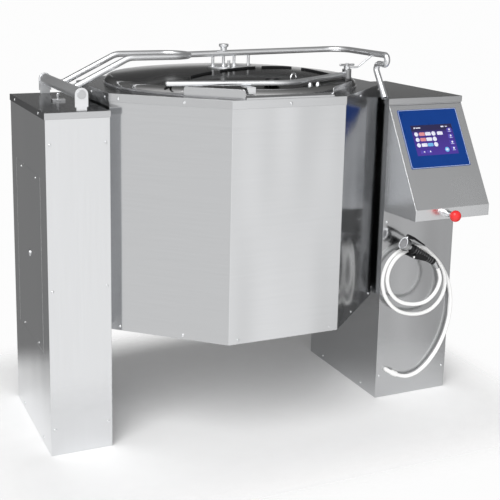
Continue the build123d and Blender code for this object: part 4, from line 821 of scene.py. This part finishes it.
def slot_shade_strip(line, start, stop):
    """Upright dark strip between two shares of a line, painted shade of a slot's opening: the line's points
    moved sideways and up.
    """
    shares = np.linspace(start, stop, 24)
    steps = np.linspace(0, 1, len(line))
    middle = np.stack([np.interp(shares, steps, line[:, axis]) for axis in (0, 1)], axis=-1)
    ahead = np.gradient(middle, axis=0)
    ahead /= np.linalg.norm(ahead, axis=1, keepdims=True)
    aside = np.stack([-ahead[:, 1], ahead[:, 0]], axis=-1)
    offsets = np.array([(-1, -SLOT_DEPTH), (-0.6, SLOT_HEIGHT), (0.6, SLOT_HEIGHT), (1, -SLOT_DEPTH)])
    flat = middle[:, None] + aside[:, None] * offsets[None, :, :1] * SLOT_HALF_WIDTH
    rings = on_dome(flat)
    rings[..., 2] += offsets[None, :, 1]
    return skin(rings, rings[[0, -1]].mean(axis=1))


def smooth_line(points, count=160):
    """Points spread evenly along a line whose corners are rounded by repeated averaging."""
    points = np.asarray(points, float)
    run = np.concatenate([[0], np.cumsum(np.linalg.norm(np.diff(points, axis=0), axis=1))])
    even = np.linspace(0, run[-1], count)
    line = np.stack([np.interp(even, run, points[:, axis]) for axis in (0, 1)], axis=-1)
    for _ in range(60):
        line[1:-1] = (line[:-2] + line[1:-1] * 2 + line[2:]) / 4
    return line


def dome_nut():
    """Hexagon with a ball end: the outline turns from hexagon to circle above the flats."""
    sides = 24
    outlines = np.stack([hexagon(sides)] * 3 + [circle(sides)] * 5)
    scales = np.array([1.0, 1.0, 0.95, 0.80, 0.76, 0.62, 0.42, 0.18]) * NUT_RADIUS
    lift = np.array([0.0, 0.55, 0.62, 0.66, 1.0, 1.3, 1.48, 1.56]) * NUT_RADIUS
    return stacked(outlines, scales, lift)


def washer():
    """Thin ring's outer form under a nut."""
    scales = np.array([1.0, 1.0, 0.9]) * NUT_RADIUS * 1.35
    return stacked(circle(24), scales, (0, WASHER_THICKNESS, 0.0011))


def add_lid_details():
    """Painted shade of the slots in the lid's sheet as black strips, dome nuts and lift tab on it, and the
    inset of its knob.
    """
    line = smooth_line(SLOT_LINE)
    # Black strips stand in for the shade inside the lid's slots
    slots = [slot_shade_strip(line, start, stop) for start, stop in SLOT_LENGTHS]
    piece("lid_slot_shade", slots, FINISHES["black_rubber"], "lid")

    nuts = []
    for place in DOME_NUTS:
        foot = on_dome(place)
        nuts.append(placed(washer(), foot - (0, 0, WASHER_SINK)))
        nuts.append(placed(dome_nut(), foot + (0, 0, WASHER_THICKNESS), twist=NUT_TWIST))
    piece("lid_dome_nuts", nuts, FINISHES["chrome"], "lid")

    turn = np.linspace(0, np.pi, 25)
    across = -np.cos(turn) * LIFT_TAB_WIDTH / 2
    rise = np.sin(turn) ** 1.5 * LIFT_TAB_HEIGHT - LIFT_TAB_SINK
    foot = on_dome(LIFT_TAB_PLACE)
    loop = foot + np.stack([across * LIFT_TAB_ALONG[0], across * LIFT_TAB_ALONG[1], rise], axis=-1)
    tab = swept(loop, LIFT_TAB_RADIUS, up=(-LIFT_TAB_ALONG[1], LIFT_TAB_ALONG[0], 0.0))
    piece("lid_lift_tab", [tab], FINISHES["chrome"], "lid")

    low, high = corners("lid_knob")
    middle = (low + high) / 2
    scales = np.array([1.0, 1.0, 0.94, 0.86, 0.4]) * KNOB_INSET_RADIUS
    inset = stacked(circle(40), scales, (-0.0006, 0.0002, 0.0006, 0.0003, 0.0002))
    place = (middle[0], middle[1], high[2])
    piece("lid_knob_inset", [placed(inset, place)], FINISHES["black_plastic"], "lid")


def arm_weld(y):
    """Bead where an arm meets the hinge barrel.

    It follows the line in which two round bars cross, with a ripple for each drop of weld.
    """
    turn = np.linspace(0, 2 * np.pi, 72, endpoint=False)
    start = np.array(BARREL_PLACE)
    ahead = unit(np.array(ARM_BEND) - start)
    aside = np.array([-ahead[1], ahead[0]])
    sideways = ARM_RADIUS * np.cos(turn)
    run = np.sqrt(BARREL_RADIUS ** 2 - sideways ** 2)
    flat = start + run[:, None] * ahead + sideways[:, None] * aside
    path = np.stack([flat[:, 0], y + ARM_RADIUS * np.sin(turn), flat[:, 1]], axis=-1) + CENTRE
    ripple = WELD_RADIUS * (1 + WELD_RIPPLE * np.sin(turn * WELD_DROPS))
    return swept(path, ripple, sides=10, up=(ahead[0], 0.0, ahead[1]), loop=True)


def add_welds():
    beads = [arm_weld(y) for y in ARM_SPACING]
    piece("arm_weld_beads", beads, FINISHES["bright_tube"], "lid")


# Touch screen

def slope_place(right, down, out):
    """A point on the hood's slope, from its upper left corner."""
    length = math.hypot(HOOD_RUN, HOOD_DROP)
    falling = np.array([0, -HOOD_RUN, -HOOD_DROP]) / length
    facing = np.array([0, -HOOD_DROP, HOOD_RUN]) / length
    corner = np.array(HOOD_CORNER) + CENTRE
    return corner + np.array([right, 0, 0]) + falling * down + facing * out, facing


def tile(right, down, width, height, power=0.3):
    """Flat picture element with rounded corners, at a place on the screen."""
    outline = rounded_box(width, height, power=power)
    form = stacked(outline, (1.0, 1.0, 0.97), (-0.0002, TILE_THICKNESS * 0.7, TILE_THICKNESS))
    where, facing = slope_place(SCREEN_LEFT + right, SCREEN_DOWN + down, SCREEN_LIFT)
    return placed(form, where, facing)


def disc(right, down, radius):
    return tile(right, down, radius * 2, radius * 2, power=1.0)


def add_overlay_border():
    """Painted highlight along the blue overlay's edge: a pale thin bar along a box with rounded corners."""
    width, height = (size - 2 * BORDER_INSET for size in OVERLAY_SIZE)
    outline = rounded_box(width, height, sides=160, power=0.05)
    flat = np.column_stack([outline, np.zeros(len(outline))])
    middle = (OVERLAY_LEFT + OVERLAY_SIZE[0] / 2, OVERLAY_DOWN + OVERLAY_SIZE[1] / 2, OVERLAY_THICKNESS)
    where, facing = slope_place(*middle)
    line = placed((flat, None, None), where, facing)[0]
    bar = swept(line, BORDER_RADIUS, sides=6, up=facing, loop=True)
    piece("overlay_border", [bar], FINISHES["overlay_edge_highlight"], "frame")


def add_screen_picture():
    """Plain cooking programme: a title bar, three rows of steps, a column of icons and two buttons."""
    marks = {"pale": [], "warm": [], "cool": [], "violet": []}
    pale, cool, violet = marks["pale"], marks["cool"], marks["violet"]
    pale += [disc(0.014, 0.010, 0.003), tile(0.030, 0.010, 0.020, 0.004)]
    pale += [tile(0.135, 0.009, 0.012, 0.005), tile(0.152, 0.009, 0.010, 0.003)]
    for row, blocks in enumerate(SCREEN_ROWS):
        down = ROW_DOWN + row * ROW_STEP
        pale.append(disc(0.016, down, 0.008))
        for column, kind in enumerate(blocks, start=1):
            right = BLOCK_RIGHT + column * BLOCK_STEP
            if kind == "ring":
                pale.append(disc(right - 0.002, down, 0.0085))
                cool.append(disc(right - 0.002, down, 0.004))
            else:
                marks[kind].append(tile(right, down, 0.024, 0.013))
    for row in range(4):
        down = ICON_STEP + row * ICON_STEP
        violet.append(tile(ICON_RIGHT, down, 0.022, 0.018))
        pale.append(disc(ICON_RIGHT, down - 0.002, 0.0038))
        pale.append(tile(ICON_RIGHT, down + 0.0055, 0.012, 0.0016))
    cool.append(disc(0.132, 0.098, 0.0095))
    pale.append(tile(0.132, 0.098, 0.009, 0.0075))
    for right in (0.028, 0.054):
        violet.append(tile(right, BUTTON_DOWN, 0.022, 0.013))
        pale.append(disc(right + 0.004, BUTTON_DOWN, 0.0028))
    lifts = {"pale": TILE_THICKNESS * 0.6, "warm": 0, "cool": 0, "violet": -0.0002}
    for name, shapes in marks.items():
        raised = slope_place(0, 0, lifts[name])[0] - slope_place(0, 0, 0)[0]
        shapes = [(verts + raised, quads, triangles) for verts, quads, triangles in shapes]
        piece("screen_" + name + "_marks", shapes, FINISHES[name + "_mark"], "frame")


# Spray gun and hose

def gun_lines():
    """The gun's axis, which runs down to the hose, and the upward direction square to it."""
    slope = math.radians(GUN_SLOPE)
    return np.array([math.cos(slope), 0, -math.sin(slope)]), np.array([math.sin(slope), 0, math.cos(slope)])


def gun_ring(run, reach, radius):
    """Round bar bent to a circle about the gun's axis, at a distance along it."""
    axis, aside = gun_lines()
    turn = np.linspace(0, 2 * np.pi, 48, endpoint=False)
    around = np.cos(turn)[:, None] * aside + np.sin(turn)[:, None] * np.array([0, 1, 0])
    centre = np.array(GUN_HEAD) + CENTRE + axis * run
    return swept(centre + reach * around, radius, sides=10, up=axis, loop=True)


def add_gun_details():
    """Ribs that follow the grip's taper, dark bands round the head, the lever's pad and the spray plate."""
    ribs = [
        gun_ring(run, np.interp(run, GRIP_RANGE, GRIP_RADII) - RIB_RADIUS * 0.2, RIB_RADIUS)
        for run in np.linspace(*RIB_RANGE, RIB_COUNT)
    ]
    bands = [gun_ring(run, HEAD_RADIUS, BAND_RADIUS) for run in HEAD_BANDS]
    return [
        piece("grip_ribs", ribs, FINISHES["rib_rubber_painted_highlight"], "frame"),
        piece("head_bands", bands, FINISHES["black_plastic"], "frame"),
        piece("lever_pad", lever_pad(), FINISHES["black_rubber"], "lever"),
        add_spray_face(),
    ]


def lever_slab(reach, levels, side):
    """Part of the lever's pad: rounded rings along the gun's axis, between a lower and an upper height.

    Their width and thickness are drawn in at both ends.
    """
    axis, aside = gun_lines()
    share = np.linspace(0, 1, 25)
    drawn = np.sqrt(np.clip(1 - (2 * share - 1) ** 8, 0.03, 1))
    outline = rounded_box(2, 2, sides=24, power=0.5)
    low, high = (np.interp(share, np.linspace(0, 1, len(level)), level) for level in levels)
    left, right = side
    run = reach[0] + share * (reach[1] - reach[0])
    middle = np.array(GUN_HEAD) + CENTRE + run[:, None] * axis + ((low + high) / 2)[:, None] * aside
    middle[:, 1] += (left + right) / 2
    half = (right - left) / 2 * drawn
    thick = (high - low) / 2 * drawn
    sideways = (half[:, None] * outline[None, :, 0])[..., None] * np.array([0, 1, 0])
    upwards = (thick[:, None] * outline[None, :, 1])[..., None] * aside
    return skin(middle[:, None] + sideways + upwards, middle[[0, -1]])


def lever_pad():
    """Moulded cover of the lever: a pad on top that thins towards its end, and a cheek on each side."""
    return [
        lever_slab(LEVER_RANGE, PAD_LEVELS, (-PAD_SIDE, PAD_SIDE)),
        lever_slab(CHEEK_RANGE, CHEEK_LEVELS, (-PAD_SIDE - CHEEK_PROUD, -LEVER_SIDE)),
        lever_slab(CHEEK_RANGE, CHEEK_LEVELS, (LEVER_SIDE, PAD_SIDE + CHEEK_PROUD)),
    ]


def add_spray_face():
    """Grey spray plate in the head's end: a disc with a raised rim and a circle of small nozzles."""
    axis, aside = gun_lines()
    centre = np.array(GUN_HEAD) + CENTRE + axis * SPRAY_FACE_DEPTH
    scales = np.array([1, 1, 0.93, 0.88, 0.3]) * SPRAY_FACE_RADIUS
    plate = stacked(circle(48), scales, (0, 0.0016, 0.0020, 0.0012, 0.0014))
    nozzle = stacked(circle(12), np.array([1, 1, 0.6]) * NOZZLE_RADIUS, (0, 0.0018, 0.0024))
    turns = np.arange(SPRAY_HOLES) * 2 * np.pi / SPRAY_HOLES
    shapes = [placed(plate, centre, -axis)]
    for turn in turns:
        spot = centre + NOZZLE_REACH * (math.cos(turn) * aside + math.sin(turn) * np.array([0, 1, 0]))
        shapes.append(placed(nozzle, spot, -axis))
    return piece("spray_face", shapes, FINISHES["grey_rubber"], "frame")


def add_holder_screw():
    place = np.array(HOLDER_SCREW) + CENTRE
    screw = placed(screw_head(HOLDER_SCREW_RADIUS), place, (0, -1, 0))
    piece("holder_screw", [screw], FINISHES["white_plastic"], "frame")


def add_hose(details):
    """White hose: one smooth line drawn by the route's points, from the outlet to the gun's swivel."""
    curve = bpy.data.curves.new("shower_hose", "CURVE")
    curve.dimensions = "3D"
    line = curve.splines.new("NURBS")
    line.points.add(len(HOSE_ROUTE) - 1)
    line.points.foreach_set("co", np.column_stack([HOSE_ROUTE, np.ones(len(HOSE_ROUTE))]).ravel())
    line.order_u = 3
    line.use_endpoint_u = True
    curve.resolution_u = 10
    curve.bevel_depth = HOSE_RADIUS
    curve.bevel_resolution = 6
    curve.use_fill_caps = True
    curve.materials.append(FINISHES["white_hose"])
    hose = bpy.data.objects.new("shower_hose", curve)
    bpy.context.scene.collection.objects.link(hose)
    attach(hose, "frame")
    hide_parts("hose")


# Studio

def add_floor():
    """Pale floor round the kettle, whose edge fades out into whatever lies behind it."""
    mesh = bpy.data.meshes.new("studio_floor")
    reach = np.array(FLOOR_HALF[:2]) + FLOOR_FADE[1]
    corner = np.array([(-1, -1), (1, -1), (1, 1), (-1, 1)]) * reach
    verts = np.column_stack([corner, np.full(4, FLOOR_LEVEL)])
    mesh.from_pydata(verts.tolist(), [], [(0, 1, 2, 3)])
    paper, tree, shader = new_finish("floor_paper")
    marks = grouped(tree, SPECKLE, Scale=60.0)
    tone = blended(tree, ranged(tree, marks.outputs["Shade"], 0.0, 1.0), grey(0.94), grey(0.96))
    place = node(tree, "ShaderNodeTexCoord").outputs["Object"]
    folded = node(tree, "ShaderNodeVectorMath", {0: place}, operation="ABSOLUTE").outputs[0]
    beyond = node(tree, "ShaderNodeVectorMath", {0: folded, 1: FLOOR_HALF}, operation="SUBTRACT").outputs[0]
    outside = node(tree, "ShaderNodeVectorMath", {0: beyond, 1: (0, 0, 0)}, operation="MAXIMUM").outputs[0]
    distance = node(tree, "ShaderNodeVectorMath", {0: outside}, operation="LENGTH").outputs["Value"]
    fade = node(
        tree, "ShaderNodeMapRange",
        {"Value": distance, "From Min": FLOOR_FADE[0], "From Max": FLOOR_FADE[1],
         "To Min": 1.0, "To Max": 0.0},
        interpolation_type="SMOOTHSTEP",
    )
    tree.links.new(tone, shader.inputs["Base Color"])
    tree.links.new(ranged(tree, marks.outputs["Height"], 0.75, 0.85), shader.inputs["Roughness"])
    tree.links.new(fade.outputs[0], shader.inputs["Alpha"])
    mesh.materials.append(paper)
    floor = bpy.data.objects.new("studio_floor", mesh)
    bpy.context.scene.collection.objects.link(floor)


def room_side(tree, around, towards, near, far, low, high):
    """Light of one side of the room: it rises smoothly as a direction turns towards that side."""
    side = tuple(unit(towards))
    along = node(tree, "ShaderNodeVectorMath", {0: around, 1: side}, operation="DOT_PRODUCT")
    return node(
        tree, "ShaderNodeMapRange",
        {"Value": along.outputs["Value"], "From Min": far, "From Max": near, "To Min": low, "To Max": high},
        interpolation_type="SMOOTHSTEP",
    ).outputs[0]


def front_light(tree, around):
    """Front of the room: a wide dim side with a bright part in its middle and a paler part on the left."""
    wide = room_side(tree, around, *WIDE_SIDE)
    bright = room_side(tree, around, *BRIGHT_SIDE)
    left = room_side(tree, around, *LEFT_SIDE)
    both = node(tree, "ShaderNodeMath", {0: wide, 1: bright}, operation="ADD")
    return node(tree, "ShaderNodeMath", {0: both.outputs[0], 1: left}, operation="ADD").outputs[0]


def add_studio_light():
    """Large soft room, bright in front and dim above and behind.

    From below up to just over the horizon, a pale patch with abrupt edges lies where the photograph's
    camera looks, about 18 degrees to each side. Other views see a grey or an uneven background.
    """
    world = bpy.data.worlds.new("studio")
    bpy.context.scene.world = world
    world.use_nodes = True
    tree = world.node_tree
    background = tree.nodes["Background"]
    around = node(tree, "ShaderNodeTexCoord").outputs["Generated"]
    flat = node(tree, "ShaderNodeVectorMath", {0: around, 1: (1, 1, 0)}, operation="MULTIPLY")
    level_side = node(tree, "ShaderNodeVectorMath", {0: flat.outputs[0]}, operation="NORMALIZE").outputs[0]
    upper = front_light(tree, around)
    behind = room_side(tree, level_side, *PALE_PATCH)
    front = front_light(tree, level_side)
    lower = node(tree, "ShaderNodeMath", {0: front, 1: behind}, operation="MAXIMUM").outputs[0]
    level = node(tree, "ShaderNodeSeparateXYZ", {0: around}).outputs["Z"]
    below = ranged(tree, level, 1.0, 0.0, *HORIZON_BLEND)
    tone = node(tree, "ShaderNodeMix", {0: below, 2: upper, 3: lower}, data_type="FLOAT")
    tree.links.new(tone.outputs[0], background.inputs["Color"])

    lamp = bpy.data.lights.new("broad_lamp", "SUN")
    lamp.energy = LAMP_ENERGY
    lamp.angle = math.radians(LAMP_ANGLE)
    holder = bpy.data.objects.new("broad_lamp", lamp)
    bpy.context.scene.collection.objects.link(holder)
    holder.rotation_euler = Vector(LAMP_DIRECTION).to_track_quat("Z", "Y").to_euler()


def add_camera():
    """Camera at the photograph's place, turned by yaw, pitch and roll."""
    yaw, pitch, roll = (math.radians(turn) for turn in (CAMERA_YAW, CAMERA_PITCH, CAMERA_ROLL))
    ahead = Vector((math.sin(yaw) * math.cos(pitch), math.cos(yaw) * math.cos(pitch), -math.sin(pitch)))
    level = Vector((math.cos(yaw), -math.sin(yaw), 0.0))
    down = ahead.cross(level)
    right = level * math.cos(roll) + down * math.sin(roll)
    below = down * math.cos(roll) - level * math.sin(roll)
    lens = bpy.data.cameras.new("photo_camera")
    lens.lens = CAMERA_FOCAL / PHOTO_SIZE * lens.sensor_width
    lens.shift_x = (PHOTO_SIZE / 2 - CAMERA_CENTRE[0]) / PHOTO_SIZE
    lens.shift_y = (CAMERA_CENTRE[1] - PHOTO_SIZE / 2) / PHOTO_SIZE
    camera = bpy.data.objects.new("photo_camera", lens)
    turn = Matrix((right, -below, -ahead)).transposed().to_4x4()
    camera.matrix_world = Matrix.Translation(CAMERA_PLACE) @ turn
    bpy.context.scene.collection.objects.link(camera)
    bpy.context.scene.camera = camera


finish_parts()
add_screws()
add_lid_details()
add_welds()
add_overlay_border()
add_screen_picture()
add_holder_screw()
add_hose(add_gun_details())
add_floor()
add_studio_light()
add_camera()
bpy.context.scene.view_settings.view_transform = "Standard"
